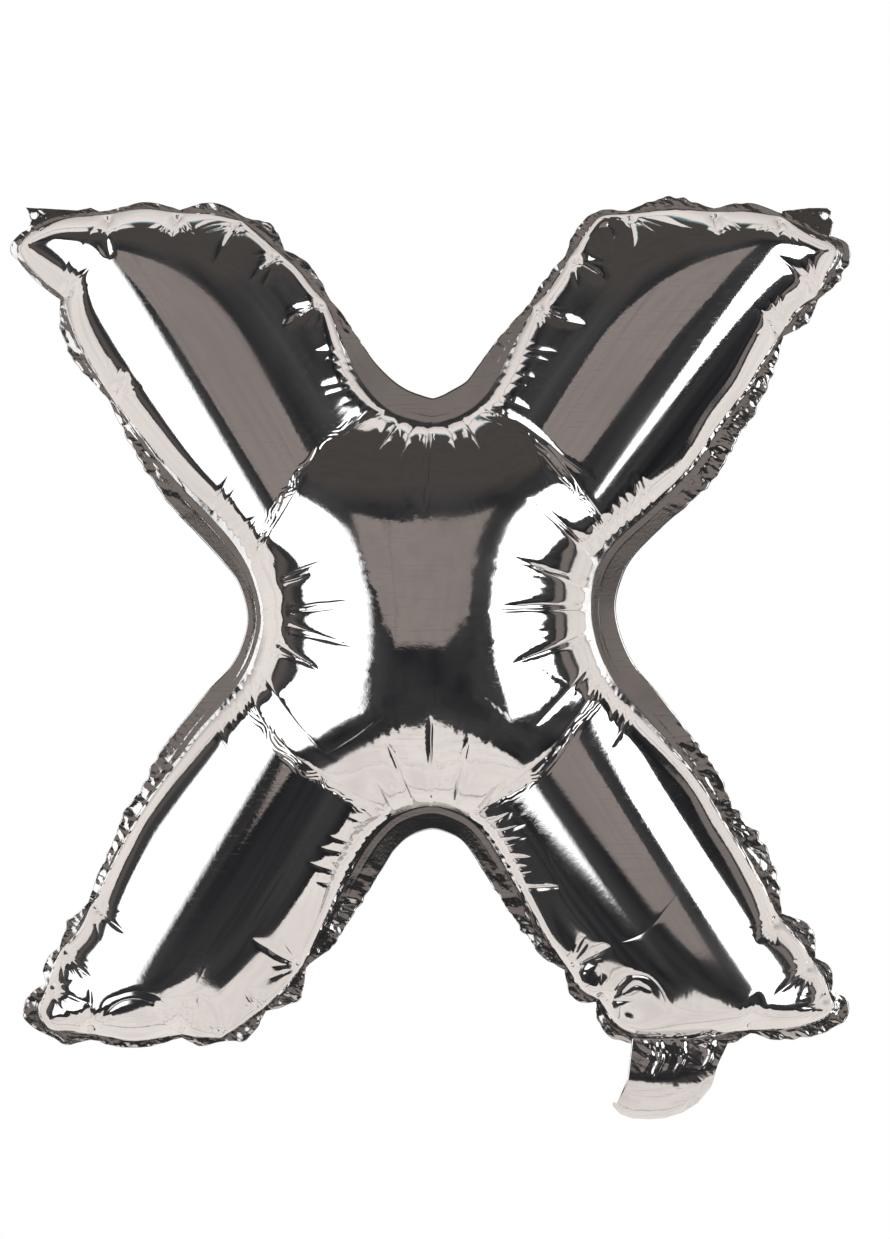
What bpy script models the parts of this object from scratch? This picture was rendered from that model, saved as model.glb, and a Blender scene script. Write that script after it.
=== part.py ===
"""Letter X foil balloon, 16 inch size, inflated, with its seal border, hanging tabs and inflation neck.

Units are metres, +Z is up and the front faces -Y. The origin is the crossing of the X, on the
plane of the weld between the two films. Outline points are millimetres from that origin.
"""
import math

import bmesh
import bpy
import numpy as np
from mathutils import Vector
from mathutils.geometry import delaunay_2d_cdt

MM = 0.001

# Driving dimensions, in millimetres
FILM = 0.9              # wall of each film panel, a stand-in for foil of a few hundredths
WELD = 1.2              # thickness of the welded border
GAP = 0.3               # clearance between touching pieces
SEAM_LAP = 1.6          # how far the border reaches in under the films
FULLNESS = 0.76         # depth of the middle against a round tube's
CROWN = 0.12            # how much rounder the middle is than its arms let it be
CROWN_REACH = (60.0, 125.0)     # the crown fades between these distances from the middle
ARM_AXIS = (0.62, 0.785)        # direction of the arms in the XZ plane
ARM_START = (45.0, 95.0)        # the pull along the arms fades between these distances
ARM_FLOW = 0.3          # pull along an arm against the pull across it
FOLD_REACH = 13.0       # how far a fold pulls the middle down
ARM_ROOT = 80.0         # distance from the middle where an arm has its full height
TAPER_RUN = 100.0
LEAST_REACH = 0.01      # least distance from an arm's side line, so that its height is never zero
CAP_REACH = 13.0        # how fast an arm's end rises
EDGE_REACH = 14.0       # how far in the seam's own line shapes an arm
OUTLINE_STEP = 8.0      # spacing of the points along the films' seam
BORDER_STEP = 4.5       # spacing of the points along the border
LATTICE_STEP = 9.5      # spacing of the points inside the seam
RIM_INSET = 3.2         # first row of points in from the seam
ON_SEAM = 0.001         # points closer to the seam than this lie on it

TAB_TOP = 174.2         # top edge of both hanging tabs
TAB_DEPTH = 16.0        # how far down the corner a tab reaches
TAB_INSET = 3.6         # from the tab's outer corner to the middle of its string hole, each way
TAB_HOLE = 1.5          # radius of the string hole

NECK_MIDDLE = 106.5     # x of the neck's centre line
NECK_WIDTH = 41.0
NECK_TOP = -184.0
NECK_FOLD = -200.0      # height where the neck starts to curl to the back
NECK_CURL = 18.8        # radius of the curl
NECK_TURN = 122.0       # degrees that the curl turns
NECK_FILM = 0.8
VALVE_WIDTH = 30.0
VALVE_TOP = -190.0
VALVE_PROUD = 3.0       # how far the valve film ends beyond the neck's mouth

# The seam, counter-clockwise from the right side of the top valley, as stretches between
# pinches. A stretch is the x and z of the points that its smooth curve passes through, each with
# the width of the border there.
SEAM = [
    [(44, 131.5, 2), (37, 119, 5.5), (32.5, 109.5, 8), (28, 100.5, 9.5), (22, 92, 10),
     (13.5, 86, 10.5), (6, 83, 10), (0, 82, 10), (-8, 83.5, 10.5), (-16.5, 86.5, 11),
     (-24, 92.5, 10.5), (-31.5, 102.5, 9), (-37, 115, 6.5), (-41.5, 126.5, 4), (-45, 133, 2)],
    [(-45, 133, 2), (-51, 140.5, 4), (-57, 148, 4), (-64.5, 154, 2)],
    [(-64.5, 154, 2), (-72, 161.5, 6), (-81, 168, 2)],
    [(-81, 168, 2), (-94, 171.5, 4.5), (-108, 171.5, 1.5)],
    [(-108, 171.5, 1.5), (-123, 173.5, 2.5), (-138.5, 171, 1.5)],
    [(-138.5, 171, 1.5), (-158.5, 169, 1.5), (-171, 163.5, 2), (-177, 157, 4), (-175, 151, 2),
     (-167.5, 143, 2), (-158, 135, 1.5)],
    [(-158, 135, 1.5), (-154.5, 121.5, 4.5), (-147.5, 107.5, 4.5), (-138, 93, 1.5)],
    [(-138, 93, 1.5), (-127.5, 78.5, 4.5), (-115, 62, 7), (-104.5, 50, 8.5), (-93, 38.5, 9),
     (-83.5, 26.5, 8), (-77, 14, 6), (-73.5, -2, 5.5), (-76, -16.5, 6), (-81.5, -28.5, 7),
     (-90, -39, 8), (-99.5, -50, 7.5), (-107, -60, 7.5), (-114.5, -70, 6.5), (-121, -79.5, 5),
     (-126.5, -88, 5.5), (-133, -100, 4), (-139, -112, 3.5), (-143.5, -122, 3),
     (-146, -125.5, 1.5)],
    [(-146, -125.5, 1.5), (-151, -136, 6), (-158.5, -144.5, 1.5)],
    [(-158.5, -144.5, 1.5), (-162.5, -152, 4), (-164.5, -160, 1.5)],
    [(-164.5, -160, 1.5), (-169, -171, 7), (-164.5, -179, 3), (-155, -181, 5), (-146, -181.5, 2.5)],
    [(-146, -181.5, 2.5), (-127, -184.5, 3), (-107, -181.5, 1.5)],
    [(-107, -181.5, 1.5), (-99.5, -183, 3.5), (-90, -183, 1.5)],
    [(-90, -183, 1.5), (-81, -178, 6), (-72, -170.5, 1.5)],
    [(-72, -170.5, 1.5), (-61.5, -161.5, 6.5), (-55, -152, 1.5)],
    [(-55, -152, 1.5), (-47.5, -139, 7), (-38.5, -121, 9.5), (-30.5, -106, 10.5), (-23, -95.5, 10),
     (-13.5, -87.5, 10), (0, -84, 9.5), (12.5, -87.5, 9), (21, -94, 8.5), (29.5, -106.5, 8.5),
     (40.5, -126, 7.5), (50.5, -143, 5.5), (58.5, -153, 1.5)],
    [(58.5, -153, 1.5), (64, -162.5, 4.5), (72, -166.5, 1.5)],
    [(72, -166.5, 1.5), (78, -176.5, 5.5), (87.5, -181.5, 4.5), (100.5, -183, 4), (115.5, -183, 4),
     (127, -181.5, 4.5), (137, -179.5, 1.5)],
    [(137, -179.5, 1.5), (152, -179.5, 5), (166.5, -176, 5), (173, -170.5, 7), (171, -163.5, 1.5)],
    [(171, -163.5, 1.5), (168.5, -156, 4.5), (164, -149.5, 1.5)],
    [(164, -149.5, 1.5), (158, -139.5, 6.5), (149.5, -130.5, 1.5)],
    [(149.5, -130.5, 1.5), (142.5, -116, 7), (133.5, -100.5, 8.5), (125, -87.5, 6.5),
     (115.5, -72, 8), (103.5, -57, 9), (90, -42, 10.5), (78.5, -29, 11), (71.5, -14, 11),
     (69, 1.5, 10.5), (71, 16, 11), (78.5, 29, 10), (94, 43, 8.5), (107, 55, 9), (115.5, 65, 9.5),
     (125, 79.5, 8), (135.5, 93.5, 7.5), (143.5, 107.5, 5), (150.5, 119.5, 1.5)],
    [(150.5, 119.5, 1.5), (157.5, 128, 5.5), (165.5, 135.5, 1.5)],
    [(165.5, 135.5, 1.5), (170.5, 144, 5), (175, 155, 5), (168, 161, 1.5), (158.5, 166, 1.5),
     (150, 170, 1.5)],
    [(150, 170, 1.5), (135.5, 172.5, 3.5), (121.5, 172, 1.5)],
    [(121.5, 172, 1.5), (103, 173.5, 5), (84.5, 171, 1.5)],
    [(84.5, 171, 1.5), (72.5, 170, 2.5), (65.5, 162.5, 3.5), (59, 152, 2)],
    [(59, 152, 2), (51, 140, 3.5), (44, 131.5, 2)],
]
# Each tab's stretch of the seam, and its ends along X
TAB_STRETCHES = {"hanging_tab_left": (5, -174.5, -140.5), "hanging_tab_right": (23, 151.5, 172.5)}

# Each arm is a straight tube between two side lines, closed by its end and its cut corner. The
# lines run counter-clockwise. "height" is a share of a round tube's, "skew" leans the ridge to the
# first side, and "taper" is how much lower the arm gets over TAPER_RUN. The fold from valley to
# valley parts it from the middle.
ARMS = [
    {"sides": [[(-24, 92.5), (-45, 133)], [(-166, 137), (-100, 32)]],
     "ends": [[(-45, 133), (-81, 168)], [(-60, 174.5), (-170, 174.5)]],
     "height": 0.74, "skew": 0.1, "taper": 0.06,
     "fold": [(-17, 86.5), (-32, 80), (-48, 66), (-60.5, 50.5), (-71, 32.5), (-76, 21.5)]},
    {"sides": [[(97, 41), (146.5, 105.5)], [(57, 153), (26, 101.5)]],
     "ends": [[(170, 174.5), (60, 174.5)], [(84.5, 171), (57, 153)]],
     "height": 0.74, "skew": -0.1, "taper": 0.06,
     "fold": [(76, 24), (73.5, 33), (66, 44.5), (53, 60), (38.5, 76.5), (21, 89)]},
    {"sides": [[(-102, -48.5), (-146, -120.5)], [(-55, -152), (-23, -95.5)]],
     "ends": [[(-170, -184.5), (-80, -184.5)], [(-90, -183), (-55, -152)]],
     "height": 0.74, "skew": -0.07, "taper": 0.08,
     "fold": [(-81.5, -28.5), (-76, -43), (-68, -51), (-58, -63), (-47.5, -70.5), (-30, -82),
              (-16.5, -88)]},
    {"sides": [[(21, -94), (58.5, -153)], [(152.5, -132.5), (93, -44)]],
     "ends": [[(58.5, -153), (87.5, -183)], [(80, -184), (170, -184)]],
     "height": 0.74, "skew": 0.0, "taper": 0.03,
     "fold": [(15, -88), (29, -79), (40.5, -72.5), (48, -66), (56, -56), (63.5, -45), (70, -38),
              (75, -21.5)]},
]


def clear_scene():
    for item in list(bpy.data.objects):
        bpy.data.objects.remove(item, do_unlink=True)


def new_collection(name):
    group = bpy.data.collections.new(name)
    bpy.context.scene.collection.children.link(group)
    return group


def finish(name, color, metallic, roughness):
    material = bpy.data.materials.new(name)
    material.use_nodes = True
    shader = material.node_tree.nodes["Principled BSDF"]
    shader.inputs["Base Color"].default_value = (*color, 1.0)
    shader.inputs["Metallic"].default_value = metallic
    shader.inputs["Roughness"].default_value = roughness
    return material


def smooth_curve(points, step):
    """Points about `step` apart in the XZ plane on the Catmull-Rom curve through `points`."""
    points = [np.array(point, float) for point in points]
    ends = [2 * points[0] - points[1]] + points + [2 * points[-1] - points[-2]]
    curve = []
    for a, b, c, d in zip(ends, ends[1:], ends[2:], ends[3:]):
        count = max(1, round(np.linalg.norm((c - b)[:2]) / step))
        for t in np.arange(count) / count:
            curve.append(0.5 * (2 * b + (c - a) * t + (2 * a - 5 * b + 4 * c - d) * t ** 2
                                + (3 * b - a - 3 * c + d) * t ** 3))
    curve.append(points[-1])
    return np.array(curve)


def outward(curve):
    """Unit normals of a counter-clockwise stretch, pointing out of the balloon."""
    run = np.gradient(curve, axis=0)
    return np.column_stack((run[:, 1], -run[:, 0])) / np.linalg.norm(run, axis=1)[:, None]


def seam_stretches(step):
    """Each stretch as its points, its outward normals and the border's width along it."""
    curves = [smooth_curve(points, step) for points in SEAM]
    return [(curve[:, :2], outward(curve[:, :2]), curve[:, 2]) for curve in curves]


def seam_loop(stretches, offset=0.0, border=0.0):
    """The seam as one closed loop, moved out by `offset` and by `border` shares of the border."""
    return np.concatenate([(curve + normals * (offset + border * width)[:, None])[:-1]
                           for curve, normals, width in stretches])


def nearest(points, line, closed):
    """Distance of each point from a polyline, its place along it, and the side that it is on."""
    ends = np.roll(line, -1, axis=0) if closed else line[1:]
    starts = line if closed else line[:-1]
    run = ends - starts
    away = points[:, None, :] - starts[None]
    share = np.clip((away * run).sum(2) / (run ** 2).sum(1), 0, 1)
    distance = np.linalg.norm(away - share[..., None] * run, axis=2)
    best = distance.argmin(axis=1)
    rows = np.arange(len(points))
    turn = run[best, 0] * away[rows, best, 1] - run[best, 1] * away[rows, best, 0]
    return distance[rows, best], best + share[rows, best], np.sign(turn)


def inside(points, loop):
    """Whether each point lies within a closed loop."""
    ends = np.roll(loop, -1, axis=0)
    hits = np.zeros(len(points), bool)
    for (x0, z0), (x1, z1) in zip(loop, ends):
        crosses = (z0 > points[:, 1]) != (z1 > points[:, 1])
        reach = x0 + (points[:, 1] - z0) * (x1 - x0) / (z1 - z0 if z1 != z0 else 1.0)
        hits ^= crosses & (points[:, 0] < reach)
    return hits


def triangulated(loop, folds):
    """Triangles inside the seam, with rows of points along the seam and along the folds."""
    inner_row = seam_loop(seam_stretches(OUTLINE_STEP), offset=-RIM_INSET)
    fold_points = np.concatenate(folds)
    low, high = loop.min(axis=0), loop.max(axis=0)
    rows = np.arange(low[1], high[1], LATTICE_STEP * math.sqrt(3) / 2)
    lattice = np.array([(x + LATTICE_STEP / 2 * (row % 2), z) for row, z in enumerate(rows)
                        for x in np.arange(low[0], high[0], LATTICE_STEP)])

    def kept(points, margin):
        points = points[inside(points, loop)]
        return points[nearest(points, loop, True)[0] > margin]

    inner_row = kept(inner_row, RIM_INSET * 0.85)
    fold_points = kept(fold_points, RIM_INSET * 1.7)
    lattice = kept(lattice, RIM_INSET + LATTICE_STEP * 0.45)
    for line in folds:
        lattice = lattice[nearest(lattice, line, False)[0] > LATTICE_STEP * 0.5]
    points = np.concatenate((loop, inner_row, fold_points, lattice))
    border = list(range(len(loop)))
    result = delaunay_2d_cdt([Vector(p) for p in points], [], [border], 1, 1e-5)
    flat = np.array([tuple(p) for p in result[0]])
    return flat, [tuple(face) for face in result[2]]


def eased(value, low, high):
    """0 below `low`, 1 above `high` and smooth in between."""
    share = np.clip((value - low) / (high - low), 0, 1)
    return share * share * (3 - 2 * share)


def middle_height(flat, triangles, edge):
    """Height of the film as a membrane, from Poisson's equation with less pull along the arms."""
    size = len(flat)
    stiffness = np.zeros((size, size))
    load = np.zeros(size)
    for face in triangles:
        corners = flat[list(face)]
        middle = corners.mean(axis=0)
        axis = np.sign(middle) * ARM_AXIS
        slack = (ARM_FLOW - 1) * eased(math.hypot(*middle), *ARM_START)
        edges = np.roll(corners, 1, axis=0) - np.roll(corners, -1, axis=0)
        across = edges @ (-axis[1], axis[0])
        area = abs(edges[0, 0] * edges[1, 1] - edges[0, 1] * edges[1, 0]) / 2
        stiffness[np.ix_(face, face)] += (edges @ edges.T + slack * np.outer(across, across)) / (4 * area)
        load[list(face)] += area / 3
    free = edge > ON_SEAM
    swell = np.zeros(size)
    swell[free] = np.linalg.solve(stiffness[np.ix_(free, free)], load[free])
    swell = np.maximum(swell, 0)
    near = 1 - eased(np.hypot(*flat.T), *CROWN_REACH)
    return FULLNESS * np.sqrt(2 * swell) * (swell / swell.max()) ** (CROWN * near)


def within(points, line):
    """How far points lie to the left of a straight line."""
    start, end = np.array(line, float)
    run = (end - start) / np.linalg.norm(end - start)
    return run[0] * (points[:, 1] - start[1]) - run[1] * (points[:, 0] - start[0])


def arm_height(arm, points, edge):
    """Height of an arm's tube over points whose distance from the seam is `edge`."""
    one, two = (np.maximum(within(points, line), LEAST_REACH) for line in arm["sides"])
    height = arm["height"] * (1 - arm["taper"] * (np.hypot(*points.T) - ARM_ROOT) / TAPER_RUN)
    tube = height * np.sqrt(one * two) * (1 + arm["skew"] * (one - two) / (one + two))
    for line in arm["ends"]:
        tube *= np.sqrt(1 - np.exp(-np.maximum(within(points, line), 0) / CAP_REACH))
    seam_side = height * np.sqrt(edge * np.maximum(one + two - edge, 0))
    return seam_side + (tube - seam_side) * eased(edge, 0, EDGE_REACH)


def inflated(flat, triangles, loop, folds):
    """Height of the film over the seam's plane: the arms outside the folds, the middle inside."""
    edge = nearest(flat, loop, True)[0]
    middle = middle_height(flat, triangles, edge)
    height = middle.copy()
    for arm, line in zip(ARMS, folds):
        tube = arm_height(arm, flat, edge)
        distance, along, side = nearest(flat, line, False)
        there = np.array([np.hypot(*(flat - point).T).argmin() for point in line])
        gap = np.interp(along, np.arange(len(line)), (middle - tube)[there])
        height -= np.where(side >= 0, gap * np.exp(-distance / FOLD_REACH), 0)
        quarter = (flat * np.mean(arm["sides"], axis=(0, 1)) > 0).all(axis=1)
        height = np.where((side < 0) & quarter, tube, height)
    return height


def film_panel(name, side, flat, triangles, height, material, group):
    """One film as a shell: side is -1 for the front and 1 for the back."""
    rim = WELD / 2 + GAP + FILM
    mesh = bpy.data.meshes.new(name)
    points = [(x * MM, side * (rim + h) * MM, z * MM) for (x, z), h in zip(flat, height)]
    mesh.from_pydata(points, [], triangles)
    shaped = bmesh.new()
    shaped.from_mesh(mesh)
    bmesh.ops.recalc_face_normals(shaped, faces=shaped.faces)
    if sum(face.normal.y * face.calc_area() for face in shaped.faces) * side < 0:
        bmesh.ops.reverse_faces(shaped, faces=shaped.faces)
    shaped.to_mesh(mesh)
    shaped.free()
    mesh.shade_smooth()
    mesh.materials.append(material)
    panel = bpy.data.objects.new(name, mesh)
    group.objects.link(panel)
    shell = panel.modifiers.new("film", "SOLIDIFY")
    shell.thickness = FILM * MM
    shell.offset = -1
    return panel


def flat_plate(name, outlines, thickness, material, group):
    """A plate in the XZ plane from closed outlines, the later ones being holes."""
    curve = bpy.data.curves.new(name, "CURVE")
    curve.dimensions = "2D"
    curve.fill_mode = "BOTH"
    curve.extrude = thickness / 2 * MM
    for outline in outlines:
        spline = curve.splines.new("POLY")
        spline.points.add(len(outline) - 1)
        for point, (x, z) in zip(spline.points, outline):
            point.co = (x * MM, z * MM, 0, 1)
        spline.use_cyclic_u = True
    curve.materials.append(material)
    plate = bpy.data.objects.new(name, curve)
    plate.rotation_euler = (math.pi / 2, 0, 0)
    group.objects.link(plate)
    return plate


def circle(x, z, radius, count=16):
    turns = np.arange(count) * 2 * math.pi / count
    return np.column_stack((x + radius * np.cos(turns), z + radius * np.sin(turns)))


def hanging_tab(name, stretches, material, group):
    """The straight-topped flap of border at an upper corner, with its string hole."""
    index, left, right = TAB_STRETCHES[name]
    curve, normals, width = stretches[index]
    edge = curve + normals * (width + GAP)[:, None]
    edge = edge[edge[:, 1] > TAB_TOP - TAB_DEPTH]
    edge = edge[np.argsort(edge[:, 0])]
    reach = np.concatenate(([left], edge[(edge[:, 0] > left) & (edge[:, 0] < right), 0], [right]))
    foot = np.column_stack((reach, np.interp(reach, edge[:, 0], edge[:, 1])))
    outline = np.concatenate((foot, [(right, TAB_TOP), (left, TAB_TOP)]))
    hole = circle(left + TAB_INSET if left < 0 else right - TAB_INSET, TAB_TOP - TAB_INSET, TAB_HOLE)
    return flat_plate(name, [outline, hole], WELD, material, group)


def neck_path(top, turn, count=16):
    """The neck's middle line in the YZ plane: straight down, then curling to the back."""
    angles = np.radians(np.linspace(0, turn, count))
    curl = np.column_stack((NECK_CURL * (1 - np.cos(angles)),
                            NECK_FOLD - NECK_CURL * np.sin(angles)))
    return np.concatenate(([(0.0, top), (0.0, (top + NECK_FOLD) / 2)], curl))


def neck_layer(name, path, near, far, width, material, group):
    """A strip of the neck between two offsets in front of its middle line, `width` across."""
    run = np.gradient(path, axis=0)
    normals = np.column_stack((run[:, 1], -run[:, 0])) / np.linalg.norm(run, axis=1)[:, None]
    outline = np.concatenate((path + normals * near, (path + normals * far)[::-1]))
    curve = bpy.data.curves.new(name, "CURVE")
    curve.dimensions = "2D"
    curve.fill_mode = "BOTH"
    curve.extrude = width / 2 * MM
    spline = curve.splines.new("POLY")
    spline.points.add(len(outline) - 1)
    for point, (y, z) in zip(spline.points, outline):
        point.co = (y * MM, z * MM, 0, 1)
    spline.use_cyclic_u = True
    curve.materials.append(material)
    layer = bpy.data.objects.new(name, curve)
    layer.rotation_euler = (math.pi / 2, 0, math.pi / 2)
    layer.location = (NECK_MIDDLE * MM, 0, 0)
    group.objects.link(layer)
    return layer


def build():
    clear_scene()
    group = new_collection("letter_foil_balloon")
    silver = finish("silver_film", (0.86, 0.85, 0.85), 1.0, 0.07)
    weld = finish("silver_border", (0.78, 0.77, 0.77), 1.0, 0.16)
    clear_film = finish("valve_film", (0.82, 0.83, 0.84), 0.0, 0.3)

    loop = seam_loop(seam_stretches(OUTLINE_STEP))
    folds = [smooth_curve(arm["fold"], LATTICE_STEP) for arm in ARMS]
    flat, triangles = triangulated(loop, folds)
    height = inflated(flat, triangles, loop, folds)
    film_panel("front_film", -1, flat, triangles, height, silver, group)
    film_panel("back_film", 1, flat, triangles, height, silver, group)

    stretches = seam_stretches(BORDER_STEP)
    rim = seam_loop(stretches, border=1.0)
    flat_plate("seal_border", [rim, seam_loop(stretches, offset=-SEAM_LAP)], WELD, weld, group)
    for name in TAB_STRETCHES:
        hanging_tab(name, stretches, weld, group)

    inner = WELD / 2 + GAP
    path = neck_path(NECK_TOP, NECK_TURN)
    neck_layer("neck_front_film", path, inner, inner + NECK_FILM, NECK_WIDTH, silver, group)
    neck_layer("neck_back_film", path, -inner, -inner - NECK_FILM, NECK_WIDTH, silver, group)
    longer = NECK_TURN + math.degrees(VALVE_PROUD / NECK_CURL)
    valve = neck_path(VALVE_TOP, longer)
    neck_layer("valve_film", valve, -WELD / 4, WELD / 4, VALVE_WIDTH, clear_film, group)


build()
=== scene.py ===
import math

import bpy
import numpy as np
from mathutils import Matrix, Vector
from mathutils.geometry import delaunay_2d_cdt
from mathutils.kdtree import KDTree


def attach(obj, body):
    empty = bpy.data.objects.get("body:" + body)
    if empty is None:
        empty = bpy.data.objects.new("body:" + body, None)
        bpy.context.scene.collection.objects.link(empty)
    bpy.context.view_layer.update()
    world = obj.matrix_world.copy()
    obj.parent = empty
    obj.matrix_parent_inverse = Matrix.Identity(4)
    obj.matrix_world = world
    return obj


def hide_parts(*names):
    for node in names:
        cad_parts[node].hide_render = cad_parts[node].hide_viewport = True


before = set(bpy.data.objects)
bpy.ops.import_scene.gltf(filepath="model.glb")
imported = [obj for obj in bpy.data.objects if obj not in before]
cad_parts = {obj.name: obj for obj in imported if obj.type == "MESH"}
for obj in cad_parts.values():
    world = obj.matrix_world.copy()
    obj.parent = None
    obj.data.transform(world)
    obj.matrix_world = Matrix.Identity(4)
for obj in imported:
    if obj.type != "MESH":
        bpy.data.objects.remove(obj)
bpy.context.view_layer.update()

# Letter X foil balloon: mirror film blown up between a welded rim, with hanging tabs and a neck.
# Outlines are in millimetres, x to the right and z up, as they are in the solid model.

mm = 0.001
print("frame loaded")

# The seam runs counter-clockwise from the right side of the top valley, in stretches from pinch to
# pinch that end where the next one starts. Each point is x, z and the width of the rim there.
outline = {
    "seam": [
        [(44, 131.5, 2), (37, 119, 5.5), (32.5, 109.5, 8), (28, 100.5, 9.5), (22, 92, 10),
         (13.5, 86, 10.5), (6, 83, 10), (0, 82, 10), (-8, 83.5, 10.5), (-16.5, 86.5, 11),
         (-24, 92.5, 10.5), (-31.5, 102.5, 9), (-37, 115, 6.5), (-41.5, 126.5, 4)],
        [(-45, 133, 2), (-51, 140.5, 4), (-57, 148, 4)],
        [(-64.5, 154, 2), (-72, 161.5, 6)],
        [(-81, 168, 2), (-94, 171.5, 4.5)],
        [(-108, 171.5, 1.5), (-123, 173.5, 2.5)],
        [(-138.5, 171, 1.5), (-158.5, 169, 1.5), (-171, 163.5, 2), (-177, 157, 4), (-175, 151, 2),
         (-167.5, 143, 2)],
        [(-158, 135, 1.5), (-154.5, 121.5, 4.5), (-147.5, 107.5, 4.5)],
        [(-138, 93, 1.5), (-127.5, 78.5, 4.5), (-115, 62, 7), (-104.5, 50, 8.5), (-93, 38.5, 9),
         (-83.5, 26.5, 8), (-77, 14, 6), (-73.5, -2, 5.5), (-76, -16.5, 6), (-81.5, -28.5, 7),
         (-90, -39, 8), (-99.5, -50, 7.5), (-107, -60, 7.5), (-114.5, -70, 6.5), (-121, -79.5, 5),
         (-126.5, -88, 5.5), (-133, -100, 4), (-139, -112, 3.5), (-143.5, -122, 3)],
        [(-146, -125.5, 1.5), (-151, -136, 6)],
        [(-158.5, -144.5, 1.5), (-162.5, -152, 4)],
        [(-164.5, -160, 1.5), (-169, -171, 7), (-164.5, -179, 3), (-155, -181, 5)],
        [(-146, -181.5, 2.5), (-127, -184.5, 3)],
        [(-107, -181.5, 1.5), (-99.5, -183, 3.5)],
        [(-90, -183, 1.5), (-81, -178, 6)],
        [(-72, -170.5, 1.5), (-61.5, -161.5, 6.5)],
        [(-55, -152, 1.5), (-47.5, -139, 7), (-38.5, -121, 9.5), (-30.5, -106, 10.5),
         (-23, -95.5, 10), (-13.5, -87.5, 10), (0, -84, 9.5), (12.5, -87.5, 9), (21, -94, 8.5),
         (29.5, -106.5, 8.5), (40.5, -126, 7.5), (50.5, -143, 5.5)],
        [(58.5, -153, 1.5), (64, -162.5, 4.5)],
        [(72, -166.5, 1.5), (78, -176.5, 5.5), (87.5, -181.5, 4.5), (100.5, -183, 4),
         (115.5, -183, 4), (127, -181.5, 4.5)],
        [(137, -179.5, 1.5), (152, -179.5, 5), (166.5, -176, 5), (173, -170.5, 7)],
        [(171, -163.5, 1.5), (168.5, -156, 4.5)],
        [(164, -149.5, 1.5), (158, -139.5, 6.5)],
        [(149.5, -130.5, 1.5), (142.5, -116, 7), (133.5, -100.5, 8.5), (125, -87.5, 6.5),
         (115.5, -72, 8), (103.5, -57, 9), (90, -42, 10.5), (78.5, -29, 11), (71.5, -14, 11),
         (69, 1.5, 10.5), (71, 16, 11), (78.5, 29, 10), (94, 43, 8.5), (107, 55, 9),
         (115.5, 65, 9.5), (125, 79.5, 8), (135.5, 93.5, 7.5), (143.5, 107.5, 5)],
        [(150.5, 119.5, 1.5), (157.5, 128, 5.5)],
        [(165.5, 135.5, 1.5), (170.5, 144, 5), (175, 155, 5), (168, 161, 1.5), (158.5, 166, 1.5)],
        [(150, 170, 1.5), (135.5, 172.5, 3.5)],
        [(121.5, 172, 1.5), (103, 173.5, 5)],
        [(84.5, 171, 1.5), (72.5, 170, 2.5), (65.5, 162.5, 3.5)],
        [(59, 152, 2), (51, 140, 3.5)],
    ],
    "valleys": [(0, 82), (-73.5, -1), (0, -84), (69, 1.5)],
}

camera = {"place": (0.006, -1.48, -0.0032), "lens": 100.0, "sensor": 36.0}


def makeCamera():
    data = bpy.data.cameras.new("camera")
    data.lens = camera["lens"]
    data.sensor_width = camera["sensor"]
    eye = bpy.data.objects.new("camera", data)
    eye.location = camera["place"]
    eye.rotation_euler = (math.pi / 2, 0, 0)
    bpy.context.scene.collection.objects.link(eye)
    bpy.context.scene.camera = eye


def smoothCurve(points, step):      # points about a step apart on a Catmull-Rom curve
    points = [np.array(point, float) for point in points]
    ends = [2 * points[0] - points[1]] + points + [2 * points[-1] - points[-2]]
    curve = []
    for a, b, c, d in zip(ends, ends[1:], ends[2:], ends[3:]):
        count = max(1, round(np.linalg.norm((c - b)[:2]) / step))
        for t in np.arange(count) / count:
            curve.append(0.5 * (2 * b + (c - a) * t + (2 * a - 5 * b + 4 * c - d) * t ** 2
                                + (3 * b - a - 3 * c + d) * t ** 3))
    curve.append(points[-1])
    return np.array(curve)


def seamLine(step):      # the closed seam: its points, normals out of the balloon and rim widths
    stretches = outline["seam"]
    line = np.concatenate([smoothCurve(stretch + after[:1], step)[:-1]
                           for stretch, after in zip(stretches, stretches[1:] + stretches[:1])])
    points = line[:, :2]
    run = np.roll(points, -1, axis=0) - np.roll(points, 1, axis=0)
    normals = np.column_stack((run[:, 1], -run[:, 0])) / np.linalg.norm(run, axis=1)[:, None]
    return points, normals, line[:, 2]


# Noise is read from a table of random heights, whose lumps are one unit across. Crumpled foil
# leans its cells to one side and sways their edges.
crumple = {"table": (61, 67), "lean": 0.5, "sway": 0.4, "swayScales": (0.8, 0.7)}


def ease(value, low, high):      # 0 below low, 1 above high, smooth in between
    share = np.clip((value - low) / (high - low), 0, 1)
    return share * share * (3 - 2 * share)


def noiseCells(x, y, seed):      # the four heights round each point, and its place between them
    table = np.random.default_rng(seed).uniform(-1, 1, crumple["table"])
    columns, rows = table.shape
    i, j = np.floor(x).astype(int), np.floor(y).astype(int)
    heights = [table[(i + right) % columns, (j + up) % rows] for up in (0, 1) for right in (0, 1)]
    return heights, x - i, y - j


def softNoise(x, y, seed):      # smooth noise from -1 to 1
    (near, right, above, far), u, v = noiseCells(x, y, seed)
    u, v = ease(u, 0, 1), ease(v, 0, 1)
    return (near * (1 - u) + right * u) * (1 - v) + (above * (1 - u) + far * u) * v


def facets(x, z, size, seed):      # crumpled foil from -1 to 1: flat facets between random heights
    x, z = x / size, z / size
    (wide, high), sway = crumple["swayScales"], crumple["sway"]
    across = x + crumple["lean"] * z + sway * softNoise(x * wide, z * wide, seed + 1)
    up = z + sway * softNoise(x * high, z * high, seed + 2)
    (near, right, above, far), u, v = noiseCells(across, up, seed)
    return np.where(u + v < 1, near + u * (right - near) + v * (above - near),
                    far + (1 - u) * (above - far) + (1 - v) * (right - far))


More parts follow.
